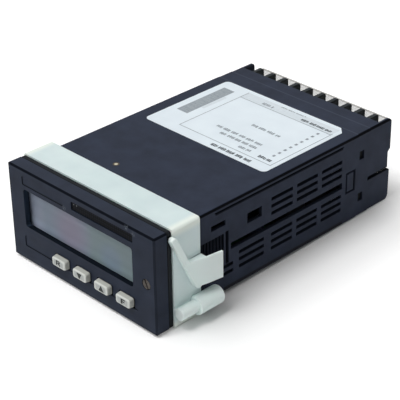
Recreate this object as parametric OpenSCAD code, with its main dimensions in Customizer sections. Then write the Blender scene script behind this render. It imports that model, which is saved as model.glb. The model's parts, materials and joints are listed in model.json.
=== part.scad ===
// Panel-mounted temperature controller: a plug-in unit in a vented sleeve that a ratchet collar
// with two jack screws holds in its panel cut-out.
// X runs across the front, Y from the front to the rear and Z up. The origin is the centre of
// the panel cut-out, on the panel's front face.

/* [Bezel] */
// Width of the bezel
bezel_w = 96; // [95:0.5:104]
// Height of the bezel
bezel_h = 48; // [47.5:0.5:56]
// Depth of the bezel moulding, front to rear
bezel_d = 7.2; // [7:0.1:9]
// Thickness of the bezel's front wall
face_t = 2.6; // [2.2:0.1:2.8]
// Thickness of the bezel's outer walls
bezel_wall = 2; // [1.5:0.1:2.2]
// Chamfer along the bezel's front edges
bezel_edge = 0.7; // [0.3:0.1:1]
// Corner radius of the bezel, seen from the front
bezel_r = 1; // [0.5:0.1:2]
// Thickness of the rear web that carries the spigot
web_t = 2; // [1.2:0.1:2]
// Reach of the spigot behind the bezel's rear edge
spigot_len = 8.5; // [8:0.1:12]
// Thickness of the spigot's side walls
spigot_wall = 1.8; // [1.4:0.1:2]
// Thickness of the spigot above and below the boards
spigot_floor = 2.45; // [2.3:0.05:3]
// Thickness of the gasket between bezel and flange
gasket_t = 0.5; // [0.4:0.1:1]
// Depth of the shallow recesses in the front face
recess_t = 0.3; // [0.2:0.05:0.6]
// Corner radius of the recesses and of the indicator strip
recess_r = 0.7; // [0.3:0.1:1.5]

/* [Display] */
// Distance from the bezel's left edge to the window
window_left = 10.2; // [9:0.1:14]
// Distance from the bezel's lower edge to the window
window_low = 18.7; // [17:0.1:22]
// Distance from the indicator strip down to the window
window_gap = 2.8; // [2.5:0.1:5]
// Corner radius of the window
window_r = 1.4; // [0.5:0.1:3]
// Lap of the lens behind the edge of the window
lens_lap = 1.2; // [0.8:0.1:1.2]
// Thickness of the lens
lens_t = 1; // [0.8:0.1:2]
// Thickness of the liquid crystal cell
glass_t = 2.9; // [1.5:0.1:3.5]
// Depth of the display holder behind the cell
holder_t = 3.5; // [3:0.1:5]

/* [Indicator strip] */
// Width of the indicator strip
strip_w = 39.2; // [30:0.2:40]
// Height of the indicator strip
strip_h = 4.2; // [3:0.1:4.2]
// Distance from the bezel's right edge to the strip
strip_right = 13.2; // [12:0.1:20]
// Gap between the strip's flange and the bezel's top wall
strip_gap = 0.2; // [0.1:0.05:0.5]
// Depth of the strip's face below the bezel's face
strip_set = 0.4; // [0.1:0.1:0.8]
// Lap of the strip's flange behind the edge of its opening
strip_lap = 0.8; // [0.5:0.1:0.8]
// Thickness of that flange
strip_flange_t = 0.8; // [0.6:0.1:1]
// Number of indicator lamps behind the strip
led_n = 5; // [2:1:8]
// Width and height of an indicator lamp
led = [2.4, 1.4]; // [1:0.1:3]
// Thickness of the indicator board
led_board_t = 0.8; // [0.6:0.1:1]

/* [Name recess] */
// Height of the bare name recess
name_h = 4.4; // [3:0.1:4.6]
// Distance from the bezel's left edge to the name recess
name_left = 9.8; // [9:0.1:14]
// Distance from the name recess to the indicator strip
name_gap = 5.5; // [4:0.1:8]
// Distance from the bezel's top edge down to the name recess's middle
name_drop = 5.7; // [5:0.1:6]

/* [Keys] */
// Distance between the keys
key_pitch = 14.15; // [13.5:0.05:14.5]
// Distance from the bezel's right edge to the last key's middle
key_right = 18.55; // [18:0.05:24]
// Height of the keys' middle above the bezel's lower edge
key_rise = 10.6; // [10:0.1:11]
// Width of a key's outer face
key_w = 8.8; // [7:0.1:9]
// Height of a key's outer face
key_h = 4.4; // [3.5:0.1:4.6]
// Taper of a key's sides, from its root to its outer face
key_taper = 0.45; // [0.2:0.05:0.6]
// Corner radius of a key
key_r = 1.1; // [0.6:0.1:1.4]
// Easing of a key's outer edges
key_ease = 0.45; // [0.2:0.05:0.6]
// Height of a key above the front face
key_proud = 2.5; // [1.8:0.1:3]
// Travel of a key
key_travel = 0.8; // [0.5:0.1:1]
// Lap of the flange that keeps a key behind the front wall
key_lap = 1.1; // [0.8:0.1:1.3]
// Thickness of that flange
key_flange_t = 1; // [0.8:0.1:1.2]
// Radius of the stem behind a key
key_stem_r = 1.5; // [1:0.1:1.8]
// Depth of the stem's tip in its switch when the key is up
stem_in = 0.6; // [0.3:0.1:0.8]
// Height of the shallow bay round the keys
bay_h = 5.6; // [5.5:0.1:6.5]
// Distance from the bezel's left edge to the bay
bay_left = 8.8; // [8:0.1:14]
// Distance from the bezel's right edge to the bay
bay_right = 11.4; // [10:0.1:13]

/* [Front screw] */
// Distance from the bezel's right edge to the front screw
screw_right = 5.5; // [5.2:0.1:6]
// Radius of the front screw's head
screw_head_r = 2.3; // [2:0.1:2.5]
// Thickness of the front screw's head
screw_head_t = 1.6; // [1:0.1:1.8]
// Radius of the front screw's shank
screw_r = 1.45; // [1.2:0.05:1.6]
// Reach of the front screw behind the panel face
screw_reach = 8; // [6:0.5:9]
// Lean of the front screw's slot
screw_lean = -25; // [-90:5:90]
// Width of a screw's slot
slot_w = 0.8; // [0.5:0.1:1]
// Outer radius of the threaded insert
insert_r = 2.2; // [2:0.1:2.4]
// Length of the boss that holds the insert
insert_len = 9; // [7:0.5:12]
// Thickness of that boss's wall
insert_wall = 1.4; // [1:0.1:1.5]
// Thickness of the tube round the screw behind the front wall
tube_wall = 0.8; // [0.6:0.1:1]

/* [Case] */
// Lap of the bezel past each side of the sleeve
lap_side = 2.25; // [1.5:0.05:3]
// Lap of the bezel past the sleeve's top and bottom
lap_top = 1.75; // [1.2:0.05:3]
// Thickness of the sleeve's walls
case_wall = 1.9; // [1.6:0.1:2.1]
// Corner radius of the sleeve
case_r = 0.8; // [0.4:0.1:1.5]
// Depth of the side walls behind the panel
case_len = 146.4; // [146:0.2:150]
// Depth of the open terminal bay behind the top and bottom walls
fin_show = 7.9; // [7.4:0.1:9]
// Thickness of the flange in front of the panel
flange_t = 2; // [1.5:0.1:2.5]
// Setback of the flange's rim behind the bezel's rim
flange_set = 0.15; // [0:0.05:0.3]
// Radius at the top rear corner of the side walls
rear_top_r = 2.4; // [1:0.1:3]
// Radius at the bottom rear corner of the side walls
rear_low_r = 3.6; // [1:0.1:5]
// Depth of the grip notch in the rear edge of the side walls
grip_d = 1.6; // [1:0.1:2]
// Height of the slope at each end of the grip notch
grip_ramp = 1.45; // [1:0.05:2]
// Upper end of the grip notch
grip_top = 4.5; // [3:0.1:6]
// Lower end of the grip notch
grip_low = -4.2; // [-6:0.1:-3]
// Depth of each shallow step near the rear
step_t = 0.12; // [0.08:0.02:0.2]
// Distance from the first shallow step to the rear edge
step_back = 24.4; // [23.5:0.1:25]
// Distance to the second shallow step
step_gap = 9; // [8:0.5:10]

/* [Side walls] */
// Height of a vent slot
vent_h = 1.8; // [1.2:0.1:2.2]
// Length of a vent slot
vent_len = 14.1; // [12:0.1:15]
// Distance between vent rows
vent_row = 3.65; // [3.4:0.05:3.8]
// Distance between vent columns
vent_col = 16.9; // [16.5:0.1:17]
// Start of the first full vent column
vent_y = 62.9; // [62.5:0.1:63.5]
// Height of the middle row above the long slot
vent_up = 8.45; // [8.2:0.05:8.6]
// Height of the middle row below the long slot
vent_low = -9.7; // [-10:0.05:-9.5]
// Start of the extra lower vent column
vent_front_y = 42.3; // [41:0.1:43]
// Length of the extra lower vent column's slots
vent_front_len = 16; // [14:0.1:17]
// Start of the short column beside the rack
vent_short_y = 25; // [24:0.5:30]
// End of the short column beside the rack
vent_short_end = 38.7; // [37:0.1:40]
// Height of the long slot
long_h = 3.3; // [2:0.1:3.6]
// Height of the long slot's centre
long_z = -0.7; // [-1:0.1:0]
// Start of the long slot
long_y = 37.3; // [37:0.1:40]
// Distance from the long slot's end to the rear edge
long_back = 35; // [34:0.2:42]
// Width and height of the window ahead of the upper vents
port = [9.3, 5.2]; // [3:0.1:10]
// Place of that window's front lower corner
port_at = [47.5, 6.2]; // [5:0.1:50]
// Width and height of the small slot above the rack
slit = [8.7, 2.7]; // [2:0.1:9]
// Place of the small slot's front lower corner
slit_at = [25.3, 11.4]; // [11:0.1:26]
// Width and height of the upright slot behind the rack
upright = [1.9, 16.5]; // [1:0.1:17]
// Place of the upright slot's front lower corner
upright_at = [34, -8.5]; // [-9:0.1:35]
// Width and height of the framed blank near the rear
blank = [5.8, 10.6]; // [4:0.1:12]
// Distance from the framed blank's front to the rear edge
blank_back = 32.2; // [31:0.1:33]
// Height of the framed blank's lower edge
blank_low = -6.2; // [-8:0.1:-5]
// Width and height of the catch windows for the terminal block
catch = [3.3, 4.5]; // [2:0.1:5]
// Distance from the first shallow step to the catch windows
catch_in = 1.4; // [1:0.1:2]
// Height of the upper catch window's centre
catch_up = 10.3; // [9:0.1:11]
// Height of the lower catch window's centre
catch_low = -12.1; // [-13:0.1:-11]
// Depth of the catch lugs' ends below the sleeve's side
catch_down = 1.3; // [0.5:0.1:1.6]
// Length of the slot that is open to the rear
rear_slot_len = 16.2; // [12:0.1:18]
// Height of the open slot's centre
rear_slot_z = -4.6; // [-5:0.1:-4]
// Height of the open slot
rear_slot_h = 1.5; // [1:0.1:2]
// Width of the engraved lines on the sleeve
line_w = 0.7; // [0.4:0.1:0.9]
// Depth of the engraved lines on the sleeve
line_d = 0.5; // [0.2:0.1:0.8]
// Drop of the engraved line below the sleeve's top
line_drop = 2.75; // [2.2:0.05:3.5]
// Start of the engraved line
line_y = 27.7; // [25:0.1:35]

/* [Rack] */
// Start of the ratchet rack behind the panel
rack_y = 4; // [3:0.5:8]
// End of the ratchet rack
rack_end = 33; // [28:0.5:33.5]
// Height of the ratchet rack
rack_h = 15; // [10:0.2:16]
// Depth of the rack's recess
rack_d = 1.2; // [0.8:0.05:1.3]
// Height of a ratchet tooth
tooth_h = 0.7; // [0.4:0.05:0.8]
// Number of ratchet teeth
tooth_n = 15; // [8:1:20]

/* [Terminals] */
// Number of terminals in a row
term_n = 11; // [8:1:12]
// Width of the cell at each end of a row
end_cell_w = 5.5; // [5.2:0.1:6]
// Drop of a row of screws below the board's inner face
term_drop = 3.3; // [2.8:0.1:4]
// Thickness of a barrier fin
fin_t = 2; // [1.4:0.1:2.2]
// Setback of the fins' tips from the rear edge
fin_set = 1; // [0.9:0.1:1.4]
// Drop of the fins' tops below the sleeve's top
fin_drop = 0.5; // [0.4:0.05:1]
// Radius at the fins' rear corners
fin_r = 1.1; // [0.8:0.1:3]
// Depth of the block between its front and the terminal floor
block_d = 14; // [13:0.2:14]
// Thickness of the wall between the two rows
middle_t = 5; // [3:0.2:6]
// Radius of a terminal screw's shank
term_r = 1.4; // [1:0.1:1.6]
// Radius of a terminal screw's head
term_head_r = 2.4; // [2:0.1:2.5]
// Thickness of a terminal screw's head
term_head_t = 2.2; // [1.5:0.1:2.2]
// Reach of a terminal screw's shank into the block
term_reach = 8; // [6:0.5:9]
// Width and height of a clamp plate
clamp = [4.2, 5.6]; // [3.6:0.1:6]
// Thickness of a clamp plate
clamp_t = 1; // [0.8:0.1:1.2]
// Thickness of a contact strip
contact_t = 0.7; // [0.5:0.1:0.8]
// Width of a contact strip beside the board
contact_w = 3; // [2:0.1:3.4]
// Width of a contact's plate under the clamp
pad_w = 4; // [3:0.1:4.2]
// Reach of that plate past the screw, towards the middle
pad_reach = 3; // [2.5:0.1:3.5]
// Thickness of the clear cover
cover_t = 0.8; // [0.6:0.1:0.9]
// Drop of the cover's edges below the fins' tops
cover_set = 0.5; // [0.1:0.1:1]
// Radius of the cover's snap pegs
peg_r = 1.5; // [1:0.1:1.8]
// Length of the cover's snap pegs
peg_len = 4; // [3:0.5:6]

/* [Label] */
// Width of the label
label_w = 77.6; // [60:0.1:80]
// Length of the label, front to rear
label_l = 56.3; // [40:0.1:57]
// Distance from the label's middle to the rear edge
label_back = 53.5; // [53:0.1:60]
// Thickness of the label
label_t = 0.15; // [0.1:0.05:0.2]
// Corner radius of the label
label_r = 2.5; // [1:0.1:5]
// Shift of the label to the right
label_shift = 0.5; // [-2:0.1:2]
// Cut across the label's rear right corner
label_clip = 3.6; // [2.5:0.1:6]

/* [Collar] */
// Thickness of the collar's side walls
collar_side = 2.4; // [2:0.1:2.8]
// Thickness of the collar's top and bottom walls
collar_top = 1.8; // [1.5:0.1:2.4]
// Depth of the collar, front to rear
collar_d = 15.7; // [15:0.1:17]
// Outer corner radius of the collar
collar_r = 1.3; // [1:0.1:3]
// Half height of the latch arm
latch_h = 6.6; // [5:0.1:7]
// Radius at the latch arm's lower front corner
latch_r = 1.6; // [0.8:0.1:2]
// Gap in the collar's wall round the pawl
latch_gap = 0.6; // [0.4:0.1:1]
// Set-in of the pawl from the latch arm's edges
pawl_in = 1.4; // [1:0.1:2]
// Length of the pawl behind the latch arm
pawl_len = 3; // [2:0.1:4]
// Flat at the pawl's rear
pawl_flat = 0.8; // [0.4:0.1:1.2]
// Front of the latch arm at its upper edge
latch_y = 6.5; // [6:0.1:7]
// Front of the latch arm at its lower edge
latch_low_y = 10.2; // [8:0.1:11]
// Stand-off of the latch arm's front edge from the wall
latch_front = 2.2; // [1.5:0.1:2.6]
// Stand-off of the latch arm's block from the wall at its rear
latch_rear = 4.4; // [3.5:0.1:5]
// Reach of the finger plate behind the block
finger_len = 8; // [6:0.2:10]
// Extra stand-off at the finger plate's end
finger_out = 1.2; // [0.5:0.1:2]
// Thickness of the finger plate
finger_t = 0.9; // [0.6:0.1:2]
// Half width of the spring rib
rib_r = 1.5; // [1:0.1:1.8]
// Stand-off of the spring rib from the wall
rib_out = 2.1; // [1.2:0.1:2.2]
// Reach of the spring rib's tip in front of the collar
rib_ahead = 2.2; // [1:0.1:2.2]
// Drop of the middle of the spring rib's round tip below the collar's top
rib_drop = 4.5; // [4:0.1:7]
// Reach of the spring rib's foot below the latch arm
rib_below = 0.8; // [0:0.1:1.5]
// Height of the jack screws above the collar's underside
jack_rise = 8.4; // [7.5:0.1:9.5]
// Stand-off of the jack screws from the collar's wall
jack_out = 2.7; // [2.6:0.1:3.2]
// Radius of the boss's front part
boss_r = 2.75; // [2.4:0.05:3]
// Length of the boss's front part
boss_len = 9.7; // [8:0.1:11]
// Radius of the boss's rear part
boss_rear_r = 4.35; // [3.4:0.05:4.6]
// Length of the boss's rear part
boss_rear_len = 14.2; // [12:0.1:15]
// Rounding of the boss's rear rim
boss_rim = 1.2; // [0.3:0.1:1.5]
// Half thickness of the web between boss and wall
boss_web = 1.9; // [1.5:0.1:2.2]
// Radius of a jack screw's shank
jack_r = 1.5; // [1.2:0.1:1.7]
// Radius of a jack screw's head
jack_head_r = 2.5; // [2:0.1:2.7]
// Thickness of a jack screw's head
jack_head_t = 2; // [1.5:0.1:2.5]
// Depth of the jack screw's head inside the boss
jack_sink = 3; // [1:0.5:5]

/* [Boards] */
// Thickness of the circuit boards
board_t = 1.6; // [1.2:0.1:1.6]
// Depth to which the boards enter the terminal block
board_plug = 9; // [7:0.5:9.5]
// Thickness of the rails that guide the boards
rail_t = 1.2; // [0.8:0.1:1.4]
// Reach of those rails from the sleeve's wall
rail_out = 1.8; // [1.2:0.1:2]
// Half width of the pin strips
header_half = 20; // [10:1:22]
// Height and depth of the pin strips
header_t = 2.5; // [2:0.1:3]
// Radius of the posts under the display board
post_r = 2.2; // [2:0.1:2.3]
// Radius of the small board screws' shanks
small_r = 1; // [0.8:0.1:1.1]
// Radius of the small board screws' heads
small_head_r = 1.9; // [1.6:0.1:2]
// Thickness of the small board screws' heads
small_head_t = 1.3; // [1:0.1:1.5]
// Reach of the small screws into the posts
post_bite = 4; // [3:0.5:6]
// Reach of the small screws into the spigot
spigot_bite = 2; // [1.5:0.1:2.2]
// Width across a key switch
switch_w = 6; // [5:0.1:6.2]
// Height of a key switch
switch_h = 3.5; // [3:0.1:3.8]
// Across-corner radius of a board spacer
spacer_r = 2.6; // [2:0.1:3]

/* [Parts on the boards] */
// Width and stack of the transformer core
core = [38, 16]; // [12:1:40]
// Space between the core and the upper board
core_head = 4.6; // [4.4:0.1:8]
// Width of the core's middle leg
core_leg = 12.6; // [10:0.2:13]
// Thickness of the core's outer legs and yokes
core_rim = 6.3; // [5:0.1:6.5]
// Distance from the core to the board's left edge
core_gap = 2.25; // [2:0.05:4]
// Distance from the core's middle to the terminal block
core_back = 38; // [30:1:50]
// Reach of the coil beyond the core's stack
coil_out = 5; // [3:0.5:7]
// Corner radius of the coil
coil_r = 2; // [0.5:0.1:2.5]
// Length, width and height of a relay
relay = [28.5, 12.6, 15.5]; // [10:0.1:30]
// Corner radius of a relay
relay_r = 0.8; // [0.3:0.1:1.5]
// Gap between the relays and the path of the insert's boss
relay_gap = 2.15; // [1:0.05:3]
// Distance from the first relay's middle to the terminal block
relay_back = 32; // [25:1:36]
// Distance between the relays
relay_pitch = 16; // [14:0.5:17]
// Radius and height of the large capacitor
big_cap = [6.5, 21]; // [4:0.5:24]
// Radius and height of the small capacitors
small_cap = [4, 12]; // [3:0.5:16]
// Height and depth of the crimp near a capacitor's foot
crimp = [1.8, 0.5]; // [0.2:0.1:3]
// Easing of a capacitor's top edge
cap_ease = 0.6; // [0.2:0.1:1]
// Gap between the capacitors and the path of the insert's boss
cap_gap = 1.9; // [1:0.1:4]
// Distance from the capacitors' middle to the terminal block
cap_back = 56; // [52:1:80]
// Distance between the capacitors
cap_pitch = 13; // [12:0.5:14]
// Length, width and height of the large chip
big_chip = [36, 13, 3.6]; // [3:0.1:40]
// Length, width and height of the small chips
small_chip = [19.5, 6.4, 3.3]; // [3:0.1:22]
// Place of the first chip row behind the panel
chip_y = 36; // [30:1:40]
// Distance between the chip rows
chip_pitch = 16; // [14:1:17]
// Distance between the legs of a chip
leg_pitch = 2.54; // [1.27:1.27:2.54]
// Width and thickness of a chip's leg
leg = [0.5, 0.6]; // [0.3:0.1:0.8]
// Stand-off of a chip from its board
chip_lift = 0.6; // [0.3:0.1:1]

/* [Hidden] */

$fn = 48;

// Shared clearances: loose fits, running fits, pressed or threaded fits, play under a turning
// head, holes round small screws, room round what plugs in, and cutters' overshoot
slip = 0.3;
run = 0.05;
press = 0.02;
play = 0.1;
hole_gap = 0.1;
room = 0.5;
over = 1;
// Overlap by which joined shapes of one moulding are sunk into each other
weld = 0.4;

// Places along Y, from the front to the rear
flange_front = -flange_t;
bezel_rear = flange_front - gasket_t;
bezel_front = bezel_rear - bezel_d;
face_rear = bezel_front + face_t;
web_front = bezel_rear - web_t;
spigot_end = bezel_rear + spigot_len;
lens_rear = face_rear + lens_t;
glass_front = lens_rear + slip;
glass_rear = glass_front + glass_t;
display_board_front = glass_rear + holder_t;
display_board_rear = display_board_front + board_t;
board_front = display_board_rear + slip;
switch_front = display_board_front - switch_h;
fin_tip = case_len - fin_set;
plate_len = case_len - fin_show;
step_y = case_len - step_back;
long_end = case_len - long_back;
catch_y = step_y + catch_in;
label_y = case_len - label_back;
block_front = step_y;
floor_y = block_front + block_d;
clamp_front = floor_y + contact_t;
head_front = clamp_front + clamp_t;
board_end = block_front + board_plug;

// Half sizes of the sleeve and of what slides in it
case_w = bezel_w - 2 * lap_side;
case_h = bezel_h - 2 * lap_top;
case_x = case_w / 2;
case_z = case_h / 2;
line_z = case_z - line_drop;
bore_x = case_x - case_wall;
bore_z = case_z - case_wall;
spigot_x = bore_x - room;
spigot_z = bore_z - room;
board_top = spigot_z - spigot_floor;
board_low = board_top - board_t;
spigot_in_x = spigot_x - spigot_wall;
tongue_x = spigot_in_x - slip;
display_board_x = spigot_in_x - room;
display_board_z = board_top - room;
contact_top = board_low - play;
term_z = board_low - term_drop;
catch_gap = 0.15;
cover_z = case_z - fin_drop - cover_set;
block_gap = 0.25;
block_x = bore_x - block_gap;
block_z = bore_z - block_gap;

// Boss for the insert on the sleeve's inner wall, and the room that the plug-in unit leaves for it
screw_x = bezel_w / 2 - screw_right;
insert_x = screw_x - insert_r - insert_wall;
insert_z = insert_r + insert_wall;
insert_front = flange_front + room;
boss_gap = 0.6;

// Front screw: its head lies just below the front face, with play under it
screw_front = bezel_front + play;
screw_seat = screw_front + screw_head_t + play;

// Collar planes: the wall's inner face, outer face, front and rear
collar_gap = 0.45;
collar_in_x = case_x + collar_gap;
pawl_h = latch_h - pawl_in;
collar_in_z = case_z + collar_gap;
collar_x = collar_in_x + collar_side;
collar_z = collar_in_z + collar_top;
collar_front = slip;
collar_rear = collar_front + collar_d;
jack_x = collar_x + jack_out;
jack_z = jack_rise - collar_z;
rib_z = collar_z - rib_drop;
rib_front = collar_front - rib_ahead;
boss_step = collar_front + boss_len;
boss_end = boss_step + boss_rear_len;
jack_end = boss_end - jack_sink;

// Colours as the photograph shows them
charcoal = "#343844";
black = "#17181c";
off_white = "#d3dcda";
cream = "#d6d4c8";
paper = "#dfe6ea";
board_green = "#2f5a3c";
steel = "#9a9b9d";
brass = "#b49a58";

// A box between two corners
module box_between(x, y, z)
  translate([x[0], y[0], z[0]])
    cube([x[1] - x[0], y[1] - y[0], z[1] - z[0]]);

// A rectangle with round corners, centred
module rounded(w, h, r) {
  square([w - 2 * r, h], center = true);
  square([w, h - 2 * r], center = true);
  for (sx = [-1, 1], sy = [-1, 1])
    translate([sx * (w / 2 - r), sy * (h / 2 - r)]) circle(r);
}

// An outline in X and Z carried from one Y to another
module along_y(y0, y1)
  translate([0, y1, 0]) rotate([90, 0, 0]) linear_extrude(y1 - y0) children();

// An outline in Y and Z carried from one X to another
module along_x(x0, x1)
  translate([x0, 0, 0]) rotate([90, 0, 90]) linear_extrude(x1 - x0) children();

// A round-cornered slab across the front, from one Y to another
module slab(w, h, r, y0, y1, x = 0, z = 0)
  translate([x, 0, z]) along_y(y0, y1) rounded(w, h, r);

// A round bar along Y
module bar_y(x, z, r, y0, y1)
  translate([x, y0, z]) rotate([-90, 0, 0]) cylinder(h = y1 - y0, r = r);

// A round bar along Z
module bar_z(x, y, r, z0, z1)
  translate([x, y, z0]) cylinder(h = z1 - z0, r = r);

module both_sides() {
  children();
  mirror([1, 0, 0]) children();
}

module both_rows() {
  children();
  mirror([0, 0, 1]) children();
}

// Points of an arc round a centre
function arc(c, r, from, to, n = 8) =
  [for (i = [0 : n]) let (a = from + (to - from) * i / n) c + r * [cos(a), sin(a)]];

// Places of the keys and of the terminals; the end terminals sit in the middle of narrower cells
key_n = 4;
key_z = key_rise - bezel_h / 2;
function key_x(i) = bezel_w / 2 - key_right - (key_n - 1 - i) * key_pitch;
outer_fin = bore_x - end_cell_w - fin_t / 2;
term_pitch = 2 * outer_fin / (term_n - 2);
end_cell = bore_x - end_cell_w / 2;
peg_x = fin_x(term_n - 2 - floor((term_n - 2) / 3));
function term_x(i) =
  i == 0 ? -end_cell : i == term_n - 1 ? end_cell : (i - (term_n - 1) / 2) * term_pitch;
function fin_x(i) = (i - (term_n - 2) / 2) * term_pitch;

// Places of the posts behind the bezel that carry the display board: two beside the insert's boss
// and one at the left of the keys
post_gap = 0.95;
post_x = display_board_x - post_r - slip;
post_z = insert_z + boss_gap + post_r + room;
posts = [[post_x, post_z], [post_x, -post_z], [-post_x, key_z]];

// Fields of the front: the strip under the bezel's top wall, the name recess beside it, the window
// below it as far as the posts, and the bay round the keys
strip_x = bezel_w / 2 - strip_right - strip_w / 2;
strip_z = bezel_h / 2 - bezel_wall - strip_gap - strip_lap - strip_h / 2;
name_w = bezel_w - name_left - name_gap - strip_w - strip_right;
name_x = name_left + name_w / 2 - bezel_w / 2;
name_z = bezel_h / 2 - name_drop;
window_top = strip_z - strip_h / 2 - window_gap;
window_end = post_x - post_r - post_gap - lens_lap;
window_w = window_end + bezel_w / 2 - window_left;
window_x = window_end - window_w / 2;
window_h = window_top + bezel_h / 2 - window_low;
window_z = window_top - window_h / 2;
bay_w = bezel_w - bay_left - bay_right;
bay_x = (bay_left - bay_right) / 2;

// Places of the screws that hold the horizontal boards, beside the pin strips
board_screw_out = 9;
board_screw_x = header_half + board_screw_out;
board_screw_y = board_front + small_head_r + slip;

// Places of the parts on the lower board
core_h = 2 * board_low - core_head;
core_at = [core_gap + core[0] / 2 - tongue_x, block_front - core_back, -board_low];
relay_at = [insert_x - relay_gap - relay[0] / 2, block_front - relay_back, -board_low];
cap_at = [insert_x - cap_gap - small_cap[0] - cap_pitch, block_front - cap_back, -board_low];

// Full vent columns that fit ahead of the terminal block
vent_n = floor((block_front - vent_y) / vent_col);

// Rear part of a side wall, in Y and Z, with round corners and a grip notch
module rear_wall_outline() {
  root = plate_len - over;
  polygon(concat(
    [[root, -case_z]],
    arc([case_len - rear_low_r, rear_low_r - case_z], rear_low_r, -90, 0),
    [
      [case_len, grip_low - grip_ramp],
      [case_len - grip_d, grip_low],
      [case_len - grip_d, grip_top],
      [case_len, grip_top + grip_ramp]
    ],
    arc([case_len - rear_top_r, case_z - rear_top_r], rear_top_r, 0, 90),
    [[root, case_z]]
  ));
}

// A cut into the right wall, from its outer face
module side_cut(at, size, depth = case_wall + slip)
  translate([case_x - depth, at[0], at[1]])
    cube([depth + over, size[0], size[1]]);

module vent_column(y, length, z, rows)
  for (row = rows)
    side_cut([y, z + row * vent_row - vent_h / 2], [length, vent_h]);

// Saw teeth of the rack, in X and Y, rising to the front
module rack_teeth() {
  pitch = (rack_end - rack_y) / tooth_n;
  root = case_x - rack_d;
  translate([0, 0, -rack_h / 2])
    linear_extrude(rack_h)
      polygon(concat(
        [[root - slip, rack_end], [root - slip, rack_y]],
        [for (i = [0 : tooth_n - 1]) each [
          [root + tooth_h, rack_y + i * pitch],
          [root, rack_y + (i + 1) * pitch]
        ]]
      ));
}

module side_cuts() {
  difference() {
    side_cut([rack_y, -rack_h / 2], [rack_end - rack_y, rack_h], rack_d);
    rack_teeth();
  }
  for (i = [0 : vent_n - 1]) {
    vent_column(vent_y + i * vent_col, vent_len, vent_up, [-1, 0, 1]);
    vent_column(vent_y + i * vent_col, vent_len, vent_low, [-1, 0, 1]);
  }
  vent_column(vent_front_y, vent_front_len, vent_low, [-1, 0, 1]);
  vent_column(vent_short_y, vent_short_end - vent_short_y, vent_low, [-1, 0]);
  side_cut([long_y, long_z - long_h / 2], [long_end - long_y, long_h]);
  side_cut(port_at, port);
  side_cut(slit_at, slit);
  side_cut(upright_at, upright);
  side_cut([line_y, line_z - line_w / 2], [long_end - line_y, line_w], line_d);
  difference() {
    side_cut([case_len - blank_back, blank_low], blank, line_d);
    side_cut([case_len - blank_back + line_w, blank_low + line_w], blank - 2 * [line_w, line_w],
             line_d + slip);
  }
  for (z = [catch_up, catch_low])
    side_cut([catch_y, z - catch[1] / 2], catch);
  side_cut([case_len - rear_slot_len, rear_slot_z - rear_slot_h / 2],
           [rear_slot_len + over, rear_slot_h]);
}

// Shallow steps round the rear of the sleeve
module rear_steps()
  for (i = [1, 2])
    difference() {
      box_between([-case_w, case_w], [step_y + (i - 1) * step_gap, case_len + over],
                  [-case_h, case_h]);
      slab(case_w - 2 * i * step_t, case_h - 2 * i * step_t, case_r,
           step_y - over, case_len + 2 * over);
    }

// Rails above and below each board's edge, from behind the insert's boss to the terminal block
module board_rails()
  both_sides() both_rows()
    for (z = [board_top + slip, board_low - slip - rail_t])
      box_between([bore_x - rail_out, bore_x + slip], [insert_len, block_front - room],
                  [z, z + rail_t]);

module case()
  color(charcoal)
    difference() {
      union() {
        difference() {
          union() {
            slab(case_w, case_h, case_r, flange_front, plate_len);
            slab(bezel_w - 2 * flange_set, bezel_h - 2 * flange_set, bezel_r, flange_front, 0);
            both_sides() along_x(bore_x, case_x) rear_wall_outline();
          }
          box_between([-bore_x, bore_x], [flange_front - over, case_len + over],
                      [-bore_z, bore_z]);
        }
        board_rails();
        box_between([insert_x, bore_x + slip], [insert_front, insert_len],
                    [-insert_z, insert_z]);
      }
      both_sides() side_cuts();
      rear_steps();
      bar_y(screw_x, 0, insert_r, flange_front - over, insert_len + over);
    }

module screw_insert()
  color(brass)
    difference() {
      bar_y(screw_x, 0, insert_r - press, insert_front, insert_len);
      bar_y(screw_x, 0, screw_r + run, flange_front - over, insert_len + over);
    }

// Outer form of the bezel, with its front edges chamfered
module bezel_block()
  intersection() {
    slab(bezel_w, bezel_h, bezel_r, bezel_front, bezel_rear);
    translate([0, 0, -bezel_h])
      linear_extrude(2 * bezel_h) front_chamfer(bezel_w / 2);
    along_x(-bezel_w, bezel_w)
      rotate(-90) mirror([1, 0]) front_chamfer(bezel_h / 2);
  }

// Half section of the bezel from its rear to its chamfered front
module front_chamfer(half)
  polygon([
    [-half, bezel_rear], [-half, bezel_front + bezel_edge], [bezel_edge - half, bezel_front],
    [half - bezel_edge, bezel_front], [half, bezel_front + bezel_edge], [half, bezel_rear]
  ]);

module key_opening(i)
  slab(key_w + 2 * key_taper + 2 * slip, key_h + 2 * key_taper + 2 * slip, key_r + slip,
       bezel_front - over, face_rear + over, key_x(i), key_z);

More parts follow.
